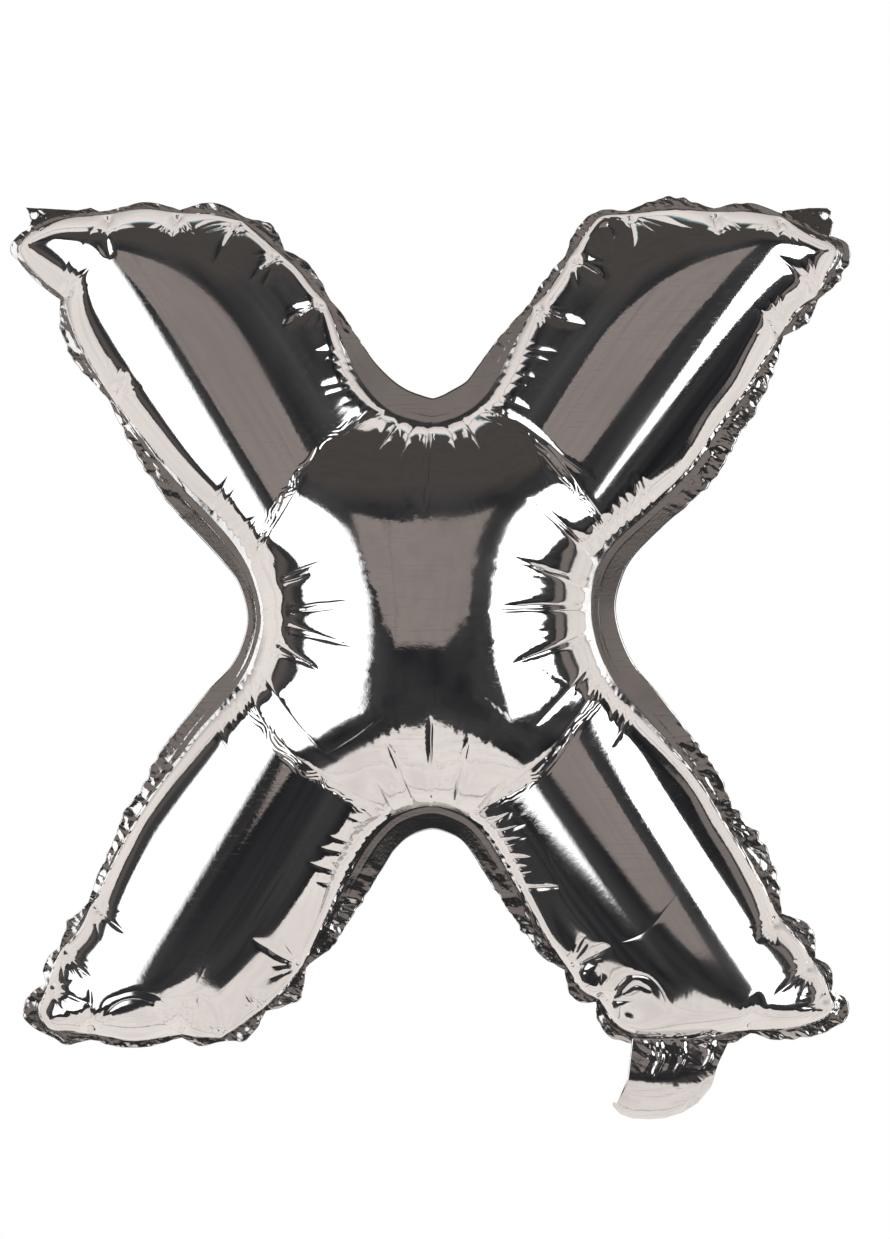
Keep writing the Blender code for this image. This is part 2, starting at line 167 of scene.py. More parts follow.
def crumpled(x, z, layers):      # the sum of some layers of facets: the height, size and seed of each
    return sum(height * facets(x, z, size, seed) for height, size, seed in layers)


def pointTree(points):
    tree = KDTree(len(points))
    for index, (x, z) in enumerate(points):
        tree.insert((x, z, 0), index)
    tree.balance()
    return tree


def gapTo(points, others):      # distance of each point from the nearest of the others
    tree = pointTree(others)
    return np.array([tree.find((x, z, 0))[2] for x, z in points])


def nearestOn(points, line):      # distance from an open line, signed to its left, and place along it
    starts, run = line[:-1], line[1:] - line[:-1]
    length = np.linalg.norm(run, axis=1)
    reach = np.concatenate(([0], np.cumsum(length)))
    away = points[:, None, :] - starts[None]
    share = np.clip((away * run).sum(2) / length ** 2, 0, 1)
    gap = away - share[..., None] * run
    distance = np.linalg.norm(gap, axis=2)
    best = distance.argmin(axis=1)
    rows = np.arange(len(points))
    side = run[best, 0] * away[rows, best, 1] - run[best, 1] * away[rows, best, 0]
    along = (reach[best] + share[rows, best] * length[best]) / reach[-1]
    return distance[rows, best] * np.sign(side), along


def seamDistance(points, seam):      # distance of each point from the closed seam, and the place there
    tree = pointTree(seam)
    index = np.array([tree.find((x, z, 0))[1] for x, z in points])
    best, place = np.full(len(points), np.inf), seam[index]
    for step in (-1, 1):
        start, end = seam[index], seam[(index + step) % len(seam)]
        run = end - start
        share = np.clip(((points - start) * run).sum(1) / (run ** 2).sum(1), 0, 1)
        there = start + share[:, None] * run
        distance = np.linalg.norm(points - there, axis=1)
        place = np.where((distance < best)[:, None], there, place)
        best = np.minimum(best, distance)
    return best, place


def insideSeam(points, seam):      # which points lie inside the closed seam
    ends = np.roll(seam, -1, axis=0)
    hits = np.zeros(len(points), bool)
    for (x0, z0), (x1, z1) in zip(seam, ends):
        if z0 != z1:
            cross = (z0 > points[:, 1]) != (z1 > points[:, 1])
            hits ^= cross & (points[:, 0] < x0 + (points[:, 1] - z0) * (x1 - x0) / (z1 - z0))
    return hits


def leftOf(points, line):      # how far points lie to the left of a straight line
    start, end = np.array(line, float)
    run = (end - start) / np.linalg.norm(end - start)
    return run[0] * (points[:, 1] - start[1]) - run[1] * (points[:, 0] - start[0])


def thinned(points, gap):      # drops points that lie closer than the gap to one kept before
    cells = np.floor(points / gap).astype(int)
    keep = np.unique(cells, axis=0, return_index=True)[1]
    points = points[np.sort(keep)]
    tree = pointTree(points)
    dropped = np.zeros(len(points), bool)
    for index, (x, z) in enumerate(points):
        if not dropped[index]:
            for place, other, away in tree.find_range((x, z, 0), gap):
                if other > index:
                    dropped[other] = True
    return points[~dropped]


# The film's mesh has rows of points close inside the seam, lines of them along the folds and the
# front's creases, and a plain lattice elsewhere. Gaps keep these from crowding each other.
film = {
    "seamStep": 0.85, "lattice": 1.4,
    "rows": (0.06, 0.22, 0.5, 0.9, 1.4, 2.0, 2.7, 3.5, 4.5, 5.7),
    "gaps": {"row": 0.93, "rowToFold": 0.35, "crease": 0.34, "creaseToFold": 0.5,
             "lattice": 0.5, "latticeToLine": 0.75},
    "solver": {"held": 1e-4, "leastArea": 1e-3, "goal": 1e-10, "turns": 3000},      # held: at the seam
    "fullness": 0.76,      # depth against a round tube's
    "armAxis": (0.62, 0.785), "armStart": (45.0, 95.0), "armFlow": 0.3,      # even height along an arm
    "crown": 0.12, "crownReach": (60.0, 125.0),      # the middle is rounder than its arms let it be
    "rim": 0.2,      # how far the film's edge lies from the middle of the weld
    "seeds": {"front": 31, "back": 32},
    # Folds run from valley to valley, each with the middle on its left and its arm on its right.
    "foldStep": 0.8, "foldEvery": 4, "foldReach": 13.0,
    "folds": {
        "upperLeft": [(-17, 86.5), (-32, 80), (-48, 66), (-60.5, 50.5), (-71, 32.5), (-76, 21.5)],
        "upperRight": [(76, 24), (73.5, 33), (66, 44.5), (53, 60), (38.5, 76.5), (21, 89)],
        "lowerLeft": [(-81.5, -28.5), (-76, -43), (-68, -51), (-58, -63), (-47.5, -70.5), (-30, -82),
                      (-16.5, -88)],
        "lowerRight": [(15, -88), (29, -79), (40.5, -72.5), (48, -66), (56, -56), (63.5, -45),
                       (70, -38), (75, -21.5)],
    },
    # Fine relief, which is bump: its height, and the distances between which it comes and goes.
    "pucker": {"elsewhere": 0.02, "valley": 0.15, "spread": 46.0, "start": (1.0, 4.0),
               "reach": 60.0, "shorter": 1.2, "least": 11.0, "fade": (0.5, 1.0)},
    "gather": {"middle": (115.0, -181.0), "spread": 17.0, "height": 0.24, "start": (1.0, 3.0),
               "end": (14.0, 27.0)},      # pleats over the neck
    "ripple": {"height": 0.13, "start": (5.0, 18.0), "end": (50.0, 57.0), "side": (10.0, 16.0),
               "apart": (4.0, 14.0), "calm": 0.75, "top": (15.0, 40.0)},
    "braid": {"height": 0.085, "reach": 1.7, "ends": 0.25,
              "run": 100.0, "offset": 300.0},      # where each fold's strands are read in the noise
}


def latticePoints(seam, step):      # staggered points a step apart inside the seam
    low, high = seam.min(axis=0), seam.max(axis=0)
    ends = np.roll(seam, -1, axis=0)
    lattice = []
    for row, z in enumerate(np.arange(low[1], high[1], step * math.sqrt(3) / 2)):
        cross = (seam[:, 1] > z) != (ends[:, 1] > z)
        a, b = seam[cross], ends[cross]
        edges = np.sort(a[:, 0] + (z - a[:, 1]) / (b[:, 1] - a[:, 1]) * (b[:, 0] - a[:, 0]))
        x = np.arange(low[0] + step / 2 * (row % 2), high[0], step)
        x = x[np.searchsorted(edges, x) % 2 == 1]
        lattice.append(np.column_stack((x, np.full(len(x), z))))
    return np.concatenate(lattice)


def triangulated(points, border):      # Delaunay triangles inside the border, the first so many points
    insideOnly, nearness = 1, 1e-5
    points = [Vector(point) for point in points]
    result = delaunay_2d_cdt(points, [], [list(range(border))], insideOnly, nearness)
    flat = np.array([tuple(point) for point in result[0]])
    return flat, np.array([tuple(face) for face in result[2]])


def usedPoints(flat, triangles):      # leaves out the points that no triangle uses
    used, triangles = np.unique(triangles, return_inverse=True)
    return flat[used], triangles.reshape(-1, 3)


def flatMesh(seam, normals, folds, extra):      # triangles inside the seam, fine along it and the lines
    gaps, deepest = film["gaps"], film["rows"][-1]
    rows = np.concatenate([seam - normals * depth for depth in film["rows"]])
    rows = rows[seamDistance(rows, seam)[0] > gaps["row"] * np.repeat(film["rows"], len(seam))]
    lattice = latticePoints(seam, film["lattice"])
    lattice = lattice[seamDistance(lattice, seam)[0] > deepest + film["lattice"] * gaps["lattice"]]
    extra = extra[insideSeam(extra, seam) & (seamDistance(extra, seam)[0] > deepest)]
    extra = thinned(extra, gaps["crease"])
    extra = extra[gapTo(extra, folds) > gaps["creaseToFold"]]
    folds = folds[insideSeam(folds, seam) & (seamDistance(folds, seam)[0] > film["foldStep"])]
    rows = rows[gapTo(rows, folds) > gaps["rowToFold"]]
    fixed = np.concatenate((folds, extra))
    lattice = lattice[gapTo(lattice, fixed) > gaps["latticeToLine"]]
    points = np.concatenate((seam, rows, lattice, fixed))
    return usedPoints(*triangulated(points, len(seam)))


def pressed(flat, triangles, free):      # a membrane's height under pressure, by conjugate gradients
    size, solver = len(flat), film["solver"]
    corners = [flat[triangles[:, k]] for k in range(3)]
    edges = [corners[(k + 2) % 3] - corners[(k + 1) % 3] for k in range(3)]
    area = np.abs(edges[0][:, 0] * edges[1][:, 1] - edges[0][:, 1] * edges[1][:, 0]) / 2
    area = np.maximum(area, solver["leastArea"])      # slivers between points in a row would stop it
    middle = sum(corners) / 3
    far = ease(np.linalg.norm(middle, axis=1), *film["armStart"])
    axis = np.sign(middle) * np.array(film["armAxis"])
    across = [(edge[:, 1] * axis[:, 0] - edge[:, 0] * axis[:, 1]) for edge in edges]
    slack = (film["armFlow"] - 1) * far      # the pull along an arm is weaker
    diagonal, load = np.zeros(size), np.zeros(size)
    pairs, weights = [], []
    for k in range(3):      # each corner's own stiffness, its share of the load and its tie to the next
        one, two = triangles[:, k], triangles[:, (k + 1) % 3]
        own = (edges[k] ** 2).sum(1) + slack * across[k] ** 2
        shared = (edges[k] * edges[(k + 1) % 3]).sum(1) + slack * across[k] * across[(k + 1) % 3]
        diagonal += np.bincount(one, own / (4 * area), size)
        load += np.bincount(one, area / 3, size)
        pairs.append(np.minimum(one, two) * size + np.maximum(one, two))
        weights.append(shared / (4 * area))
    keys, inverse = np.unique(np.concatenate(pairs), return_inverse=True)
    weight = np.bincount(inverse.ravel(), np.concatenate(weights))
    one, two = keys // size, keys % size
    height = np.zeros(size)
    rest = np.where(free, load, 0)
    ready = rest / diagonal
    way = ready.copy()
    score = rest @ ready
    goal = score * solver["goal"]
    for turn in range(solver["turns"]):
        pull = diagonal * way + np.bincount(one, weight * way[two], size)
        pull += np.bincount(two, weight * way[one], size)
        pull[~free] = 0
        pace = score / (way @ pull)
        height += pace * way
        rest -= pace * pull
        ready = rest / diagonal
        fresh = rest @ ready
        if fresh < goal:
            break
        way = ready + fresh / score * way
        score = fresh
    print("membrane solved in", turn, "turns")
    return height


# Each arm is a straight tube between two side lines, closed by its end and its cut corner. The
# lines run counter-clockwise. Skew leans its ridge to one side, and taper lowers it over each
# taperRun beyond the root. Its ends round off over the cap, and its sides near the seam's edge.
arms = {
    "root": 80.0, "taperRun": 100.0, "cap": 10.5, "edge": 14.0, "least": 0.01,
    "upperLeft": {"sides": [[(-24, 92.5), (-45, 133)], [(-166, 137), (-100, 32)]],
                  "ends": [[(-45, 133), (-81, 168)], [(-60, 174.5), (-170, 174.5)]],
                  "height": 0.74, "skew": 0.1, "taper": 0.06},
    "upperRight": {"sides": [[(97, 41), (146.5, 105.5)], [(57, 153), (26, 101.5)]],
                   "ends": [[(170, 174.5), (60, 174.5)], [(84.5, 171), (57, 153)]],
                   "height": 0.74, "skew": 0.0, "taper": 0.06},
    "lowerLeft": {"sides": [[(-102, -48.5), (-146, -120.5)], [(-55, -152), (-23, -95.5)]],
                  "ends": [[(-170, -184.5), (-80, -184.5)], [(-90, -183), (-55, -152)]],
                  "height": 0.74, "skew": 0.05, "taper": 0.18},
    "lowerRight": {"sides": [[(21, -94), (58.5, -153)], [(152.5, -132.5), (93, -44)]],
                   "ends": [[(58.5, -153), (87.5, -183)], [(80, -184), (170, -184)]],
                   "height": 0.74, "skew": 0.0, "taper": -0.08},
}


def armHeight(name, points, edge):      # edge is the points' distance from the seam
    arm = arms[name]
    one, two = (np.maximum(leftOf(points, line), arms["least"]) for line in arm["sides"])
    beyond = np.linalg.norm(points, axis=1) - arms["root"]
    height = arm["height"] * (1 - arm["taper"] * beyond / arms["taperRun"])
    tube = height * np.sqrt(one * two) * (1 + arm["skew"] * (one - two) / (one + two))
    for line in arm["ends"]:
        tube *= np.sqrt(1 - np.exp(-np.maximum(leftOf(points, line), 0) / arms["cap"]))
    near = height * np.sqrt(edge * np.maximum(one + two - edge, 0))
    return near + (tube - near) * ease(edge, 0, arms["edge"])


def shapedHeight(flat, middle, edge, folds):      # the middle's inside the folds, the arms' outside
    height, braid, strands = middle.copy(), np.zeros((len(flat), 3)), film["braid"]
    tree = pointTree(flat)
    for name, line in folds.items():
        line = np.concatenate((line[:-1:film["foldEvery"]], line[-1:]))
        distance, along = nearestOn(flat, line)
        arm = armHeight(name, flat, edge)
        here = np.array([tree.find((x, z, 0))[1] for x, z in line])
        gap = np.interp(along, np.linspace(0, 1, len(line)), (middle - arm)[here])
        height -= np.where(distance >= 0, gap * np.exp(-distance / film["foldReach"]), 0)
        corner = np.mean(arms[name]["sides"], axis=(0, 1))      # only the arm's own quarter is its own
        height = np.where((distance < 0) & (flat * corner > 0).all(axis=1), arm, height)
        amount = strands["height"] * np.exp(-(distance / strands["reach"]) ** 2)
        amount *= np.clip(along / strands["ends"], 0, 1) * np.clip((1 - along) / strands["ends"], 0, 1)
        place = along * strands["run"] + strands["offset"] * len(name)
        braid = np.where((amount > braid[:, 2])[:, None],
                         np.column_stack((place, distance, amount)), braid)
    return height, braid


# Creases pressed into the film: lines of x, z in millimetres from the seam inwards. A kind has its
# depth and width, and fades from the seam or to both ends. Pinches start where two stretches of
# the seam meet, and flanks are short creases along the arms, on both sides of each valley.
creases = {
    "step": 0.8, "edge": 2.2, "fadePower": 4.0, "crest": 0.03, "reach": 5.0,
    "rows": (-1.0, -0.42, 0.0, 0.42, 1.0),      # the film's finer points beside each front crease
    "wander": 0.16, "wanderEvery": 7, "depths": (0.75, 1.2), "widths": (0.85, 1.15),
    "kinds": {
        "radial": (1.0, 0.82, "seam"), "second": (0.6, 0.6, "both"), "arc": (0.6, 0.9, "both"),
        "faint": (0.13, 0.5, "both"), "pinch": (1.5, 1.5, "seam"), "side": (0.5, 0.7, "seam"),
        "spike": (0.6, 0.75, "seam"),
    },
    "lines": {
        "radial": [
            [(-62.5, 14.5), (-39.5, 23.5)], [(-62.0, 12.0), (-50.0, 15.5)],
            [(-59.0, 2.0), (-29.5, 5.0)], [(-59.0, -0.5), (-34.0, 2.5)],
            [(-60.0, -8.5), (-29.0, -15.0)], [(-60.0, -6.0), (-37.0, -12.5)],
            [(-64.5, -14.0), (-44.5, -26.0)], [(-66.0, -17.0), (-47.0, -23.0)],
            [(67.0, 10.0), (31.0, 24.5)], [(66.5, 13.0), (33.0, 21.5)], [(67.0, 1.5), (25.0, 0.0)],
            [(67.0, 3.0), (29.0, 2.5)], [(68.5, -8.5), (32.5, -22.5)],
            [(69.0, -11.0), (37.0, -21.0)], [(74.0, 19.5), (40.5, 47.5)],
            [(72.5, 22.5), (46.0, 46.0)], [(0.0, 82.0), (-2.5, 40.5)], [(-1.8, 81.0), (-4.0, 52.0)],
            [(-7.5, 80.5), (-16.0, 56.0)], [(7.5, 80.0), (11.5, 65.5)],
            [(14.5, 82.0), (29.0, 54.5)], [(-13.0, 82.5), (-24.0, 66.0)],
            [(0.0, -81.5), (0.0, -43.0)], [(2.0, -81.0), (2.5, -62.0)],
            [(-8.0, -81.5), (-18.5, -53.0)], [(10.5, -81.0), (16.5, -51.5)],
            [(-17.0, -86.0), (-26.0, -66.0)], [(19.0, -88.0), (31.0, -70.0)],
        ],
        "second": [
            [(-52.5, 58.0), (-61.5, 44.0), (-71.0, 28.0), (-74.5, 21.0)],
            [(-47.0, 65.0), (-56.0, 58.0), (-65.5, 39.0), (-76.5, 24.0)],
            [(17.0, 87.5), (31.5, 83.0), (46.5, 73.5), (57.0, 64.0), (69.5, 55.5)],
            [(19.0, 84.5), (37.5, 75.0), (52.0, 58.0), (71.5, 41.0), (76.5, 25.5)],
            [(22.0, 88.5), (40.0, 79.0), (55.5, 62.0), (66.0, 48.0), (75.0, 33.0)],
            [(-74.0, -21.0), (-63.5, -37.5), (-53.5, -50.0), (-40.5, -62.5)],
            [(-79.0, -25.0), (-72.0, -44.5), (-60.0, -58.0), (-44.0, -70.0), (-20.0, -84.5)],
            [(71.5, -18.0), (54.5, -37.0), (44.0, -47.5)],
            [(74.0, -24.0), (64.0, -41.0), (52.0, -57.0), (38.0, -70.0), (20.0, -83.0)],
            [(72.5, -30.0), (60.0, -50.5), (48.5, -62.0)],
        ],
        "arc": [
            [(-140.5, -169.0), (-136.5, -164.0), (-125.5, -160.5), (-115.0, -163.0), (-110.0, -169.0)],
            [(-139.0, -171.5), (-133.0, -166.5), (-124.5, -164.0), (-117.0, -166.5)],
            [(77.0, -160.5), (82.5, -154.5), (91.0, -154.0), (97.5, -160.5), (100.5, -169.0)],
            [(81.0, -162.5), (86.5, -158.0), (93.0, -160.5)],
        ],
        "faint": [
            [(-44.5, -60.5), (-32.0, -53.0), (-19.5, -43.5)],
            [(-59.0, -85.5), (-72.5, -112.5), (-88.5, -138.0), (-99.0, -157.0)],
            [(-61.0, -108.5), (-71.0, -123.0), (-78.0, -135.5)],
            [(47.0, -95.0), (56.0, -120.0), (70.0, -139.0)],
            [(103.0, -120.0), (90.0, -134.0), (76.0, -140.0)],
        ],
    },
    "pinches": {"around": 5.0, "length": (11.0, 26.0), "half": 0.5, "sway": 1.5,
                "fan": 24.0, "fans": 6, "fanTurn": 38.0, "fanSway": 0.08, "fanShares": (0.3, 0.75)},
    "flanks": {"from": 22.0, "to": 52.0, "last": 50.0, "pitch": 3.4, "uneven": (0.6, 1.4),
               "length": (9.0, 21.0), "lean": 19.0, "leanSway": 6.0, "depths": (0.5, 1.2)},
}


def sideways(line):      # the direction to the left of each point of a line
    run = np.gradient(line, axis=0)
    return np.column_stack((-run[:, 1], run[:, 0])) / np.linalg.norm(run, axis=1)[:, None]


def wavy(points, chance):      # a line in small steps, wandering a little to its sides
    line = smoothCurve(points, creases["step"])
    knots = np.arange(0, len(line) + creases["wanderEvery"] + 1, creases["wanderEvery"])
    away = np.interp(np.arange(len(line)), knots, chance.normal(0, creases["wander"], len(knots)))
    return line + sideways(line) * away[:, None]


def pinchCreases(seam, normals, chance):      # a long crease and a fan of short ones at each pinch
    pinch = creases["pinches"]
    for stretch in outline["seam"]:
        start = np.array(stretch[0][:2], float)
        inward = -normals[np.linalg.norm(seam - start, axis=1) < pinch["around"]].mean(axis=0)
        inward /= np.linalg.norm(inward)
        length = chance.uniform(*pinch["length"])
        side = np.array((-inward[1], inward[0]))
        tip = start + inward * length + side * chance.normal(0, pinch["sway"])
        yield "pinch", (start, start + inward * length * pinch["half"], tip), 1.0
        angle = math.atan2(inward[1], inward[0])
        for turn in np.radians(np.linspace(-pinch["fanTurn"], pinch["fanTurn"], pinch["fans"])):
            turn = angle + turn + chance.normal(0, pinch["fanSway"])
            reach = pinch["fan"] * chance.uniform(*pinch["fanShares"])
            way = np.array((math.cos(turn), math.sin(turn)))
            yield "side", (start + way, start + way + reach * way), 1.0


def flankCreases(seam, normals, chance):      # a row of short creases up both arms from each valley
    flanks = creases["flanks"]
    for valley in outline["valleys"]:
        away = np.linalg.norm(seam - valley, axis=1)
        around = valley[0] * (seam[:, 1] - valley[1]) - valley[1] * (seam[:, 0] - valley[0])
        for side in (-1, 1):
            there = np.flatnonzero((away > flanks["from"]) & (away < flanks["to"]) & (around * side > 0))
            there = there[np.argsort(away[there])]
            place = flanks["from"]
            while place < flanks["last"]:
                index = there[np.abs(away[there] - place).argmin()]
                lean = math.tan(math.radians(flanks["lean"] + chance.normal(0, flanks["leanSway"])))
                way = (seam[index] - valley) / away[index] * lean - normals[index]
                way /= np.linalg.norm(way)
                tip = seam[index] + way * chance.uniform(*flanks["length"])
                yield "spike", (seam[index], tip), chance.uniform(*flanks["depths"])
                place += flanks["pitch"] * chance.uniform(*flanks["uneven"])


def allCreases(seam, normals, chance):      # each one's kind, points and share of its kind's depth
    for kind, lines in creases["lines"].items():
        for points in lines:
            yield kind, points, 1.0
    yield from pinchCreases(seam, normals, chance)
    yield from flankCreases(seam, normals, chance)


def creaseLines(seam, normals, seed):      # every crease as its line, depth, width and way of fading
    chance = np.random.default_rng(seed)
    lines = []
    for kind, points, size in allCreases(seam, normals, chance):
        depth, width, fade = creases["kinds"][kind]
        lines.append((wavy(points, chance), depth * size * chance.uniform(*creases["depths"]),
                      width * chance.uniform(*creases["widths"]), fade))
    return lines


def pressCreases(flat, lines):      # how deep the creases are at each point
    push = np.zeros(len(flat))
    for line, depth, width, fade in lines:
        margin = creases["reach"] * width
        low, high = line.min(axis=0) - margin, line.max(axis=0) + margin
        near = np.flatnonzero(((flat > low) & (flat < high)).all(axis=1))
        if not len(near):
            continue
        away, along = nearestOn(flat[near], line)
        if fade == "seam":
            share = 1 - np.clip(along, 0, 1) ** creases["fadePower"]
        else:
            share = np.sqrt(np.clip(np.sin(along * math.pi), 0, 1))
        push[near] += depth * share * np.exp(-np.sqrt((away / width) ** 2 + creases["crest"]))
    return push


def surfaceNormals(points, triangles):      # the smooth normal at each point
    a, b, c = (points[triangles[:, k]] for k in range(3))
    cross = np.cross(b - a, c - a)
    total = np.column_stack([sum(np.bincount(triangles[:, k], cross[:, axis], len(points))
                                 for k in range(3)) for axis in range(3)])
    return total / np.linalg.norm(total, axis=1)[:, None]


def makeMesh(name, points, faces, material):
    mesh = bpy.data.meshes.new(name)
    mesh.vertices.add(len(points))
    mesh.vertices.foreach_set("co", (points * mm).astype(np.float32).ravel())
    mesh.loops.add(faces.size)
    mesh.loops.foreach_set("vertex_index", faces.astype(np.int32).ravel())
    mesh.polygons.add(len(faces))
    mesh.polygons.foreach_set("loop_start", np.arange(0, faces.size, faces.shape[1], dtype=np.int32))
    mesh.update(calc_edges=True)
    mesh.validate()
    mesh.shade_smooth()
    mesh.materials.append(material)
    piece = bpy.data.objects.new(name, mesh)
    bpy.context.scene.collection.objects.link(piece)
    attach(piece, "root")
    return piece


def reliefMarks(flat, distance, place):      # the heights of puckers and ripples at each point
    valleys, kind = outline["valleys"], film["pucker"]
    near = np.min([np.linalg.norm(place - valley, axis=1) for valley in valleys], axis=0)
    pucker = kind["elsewhere"] + kind["valley"] * np.exp(-(near / kind["spread"]) ** 2)
    pucker *= ease(distance, *kind["start"])
    reach = np.maximum(kind["reach"] - kind["shorter"] * near, kind["least"])
    pucker *= 1 - ease(distance / reach, *kind["fade"])
    kind = film["gather"]
    away = np.linalg.norm(place - kind["middle"], axis=1)
    gather = kind["height"] * np.exp(-(away / kind["spread"]) ** 4)
    pucker += gather * ease(distance, *kind["start"]) * (1 - ease(distance, *kind["end"]))
    kind = film["ripple"]
    ripple = kind["height"] * ease(distance, *kind["start"])
    nearest, second = np.sort([np.linalg.norm(flat - valley, axis=1) for valley in valleys], axis=0)[:2]
    ripple *= (1 - ease(distance, *kind["end"])) * ease(second - nearest, *kind["apart"])
    ripple *= 1 - ease(near, *kind["side"])
    ripple *= 1 - kind["calm"] * ease(flat[:, 1], *kind["top"])      # the top is calmer
    return pucker, ripple


def makeFilms():
    seam, normals = seamLine(film["seamStep"])[:2]
    folds = {name: smoothCurve(points, film["foldStep"]) for name, points in film["folds"].items()}
    lines = {side: creaseLines(seam, normals, seed) for side, seed in film["seeds"].items()}
    extra = np.concatenate([line + sideways(line) * away
                            for line, depth, width, fade in lines["front"] for away in creases["rows"]])
    flat, triangles = flatMesh(seam, normals, np.concatenate(list(folds.values())), extra)
    print("film mesh has", len(flat), "points and", len(triangles), "triangles")
    distance, place = seamDistance(flat, seam)
    swell = np.maximum(pressed(flat, triangles, distance > film["solver"]["held"]), 0)
    crown = film["crown"] * (1 - ease(np.linalg.norm(flat, axis=1), *film["crownReach"]))
    height = film["fullness"] * np.sqrt(2 * swell) * (swell / swell.max()) ** crown
    height, braid = shapedHeight(flat, height, distance, folds)
    clear = ease(distance, 0, creases["edge"])
    pucker, ripple = reliefMarks(flat, distance, place)
    onSeam = np.column_stack((place[:, 0], np.zeros(len(place)), place[:, 1]))
    marks = [("seamPlace", "FLOAT_VECTOR", onSeam), ("pucker", "FLOAT", pucker),
             ("ripple", "FLOAT", ripple), ("fold", "FLOAT_VECTOR", braid)]
    for name, side in (("front", -1), ("back", 1)):
        depth = side * (film["rim"] + height)
        points = np.column_stack((flat[:, 0], depth, flat[:, 1]))
        facing = surfaceNormals(points, triangles)
        outward = 1 if facing[:, 1].sum() * side > 0 else -1
        faces = triangles[:, ::outward]
        points -= outward * facing * (clear * pressCreases(flat, lines[name]))[:, None]
        piece = makeMesh(name + "FilmSkin", points, faces, materials["film"])
        for key, kind, values in marks:
            piece.data.attributes.new(key, kind, "POINT").data.foreach_set(
                "value" if kind == "FLOAT" else "vector", values.astype(np.float32).ravel())
        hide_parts(name + "_film")
    print("films made")


def gridTriangles(rows, columns, closed=False):      # facing the front where columns run right, rows up
    here = np.arange(rows if closed else rows - 1)
    a = (here[:, None] * columns + np.arange(columns - 1)).ravel()
    b = ((here[:, None] + 1) % rows * columns + np.arange(columns - 1)).ravel()
    return np.concatenate((np.column_stack((a, a + 1, b + 1)), np.column_stack((a, b + 1, b))))


def thickened(points, triangles, thickness):      # a sheet's two faces, joined along its free edges
    facing = surfaceNormals(points, triangles) * thickness / 2
    count = len(points)
    edges = np.concatenate([np.roll(triangles, -k, axis=1)[:, :2] for k in range(3)])
    keys = edges.min(axis=1) * count + edges.max(axis=1)
    firsts, uses = np.unique(keys, return_index=True, return_counts=True)[1:]
    a, b = edges[firsts[uses == 1]].T
    faces = (triangles, triangles[:, ::-1] + count,
             np.column_stack((b, a, a + count)), np.column_stack((b, a + count, b + count)))
    return np.concatenate((points + facing, points - facing)), np.concatenate(faces)


# The welded rim: smooth in the valleys, crumpled and ragged round the arms' ends.
rim = {
    "step": 0.6, "lap": 1.6, "thickness": 0.25,
    "across": (0.08, 0.16, 0.22, 0.26, 0.3, 0.36, 0.44, 0.52, 0.6, 0.68, 0.76, 0.84, 0.92, 1.0),
    "weld": 0.26, "weldHeight": 0.1,      # the weld's ridge: its place across, its height
    "calm": 100.0, "wild": 150.0,      # distances from the middle: crumpling starts, is full
    "lean": 0.05, "stiff": 3.0,      # it tips back, and moves freely from so far out
    "crumples": [(0.75, 4.2, 3), (0.3, 1.7, 4)],
    "wave": (0.5, 26.0, 5), "ragged": (0.16, 3.1, 11),      # height or share, size and seed
}


def makeRim():
    seam, normals, width = seamLine(rim["step"])
    count = len(seam)
    wild = ease(np.linalg.norm(seam, axis=1), rim["calm"], rim["wild"])
    ragged, size, seed = rim["ragged"]
    width = width * (1 + ragged * wild * softNoise(seam[:, 0] / size, seam[:, 1] / size, seed))
    lap = np.tile((-rim["lap"], 0.0), (count, 1))
    reach = np.concatenate((lap, np.array(rim["across"]) * width[:, None]), axis=1)
    flat = seam[:, None, :] + normals[:, None, :] * reach[..., None]
    x, z = flat[..., 0], flat[..., 1]
    high, size, seed = rim["wave"]
    lift = wild[:, None] * crumpled(x, z, rim["crumples"])
    lift += high * softNoise(x / size, z / size, seed) + rim["lean"] * reach
    free = np.clip(reach / rim["stiff"], 0, 1)
    weld = np.array((0, 0) + rim["across"]) == rim["weld"]
    y = lift * free - np.where(weld, rim["weldHeight"], 0) * free
    points = np.stack((x, y, z), axis=-1).reshape(-1, 3)
    points, faces = thickened(points, gridTriangles(count, flat.shape[1], closed=True), rim["thickness"])
    piece = makeMesh("sealRim", points, faces, materials["rim"])
    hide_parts("seal_border")


# The straight-topped flaps of rim at the upper corners, each punched for a string.
tabs = {
    "step": 0.7, "thickness": 0.25, "top": 174.2, "lean": 0.3,
    "hole": 1.5, "holeInset": 3.6, "holePoints": 20, "holeShare": 0.99,
    "crumples": [(0.6, 4.0, 7), (0.25, 1.6, 8)],
    "edges": {
        "left": [(-174.5, 174.2), (-173.2, 171.4), (-172.2, 168.4), (-172.6, 166.0), (-168.0, 165.2),
                 (-160.0, 168.2), (-150.0, 169.4), (-139.6, 171.0), (-146.6, 174.2), (-152.4, 173.0)],
        "right": [(151.4, 172.8), (150.6, 170.0), (158.0, 167.0), (166.0, 162.4), (171.6, 161.4),
                  (173.2, 167.6), (171.8, 170.0), (172.4, 172.6), (170.6, 174.2), (163.0, 174.2)],
    },
}


def stepped(corners, step):      # points about a step apart on the straight sides of a closed outline
    points = []
    for a, b in zip(corners, np.roll(corners, -1, axis=0)):
        count = max(1, round(np.linalg.norm(b - a) / step))
        points.append(a + (b - a) * np.arange(count)[:, None] / count)
    return np.concatenate(points)


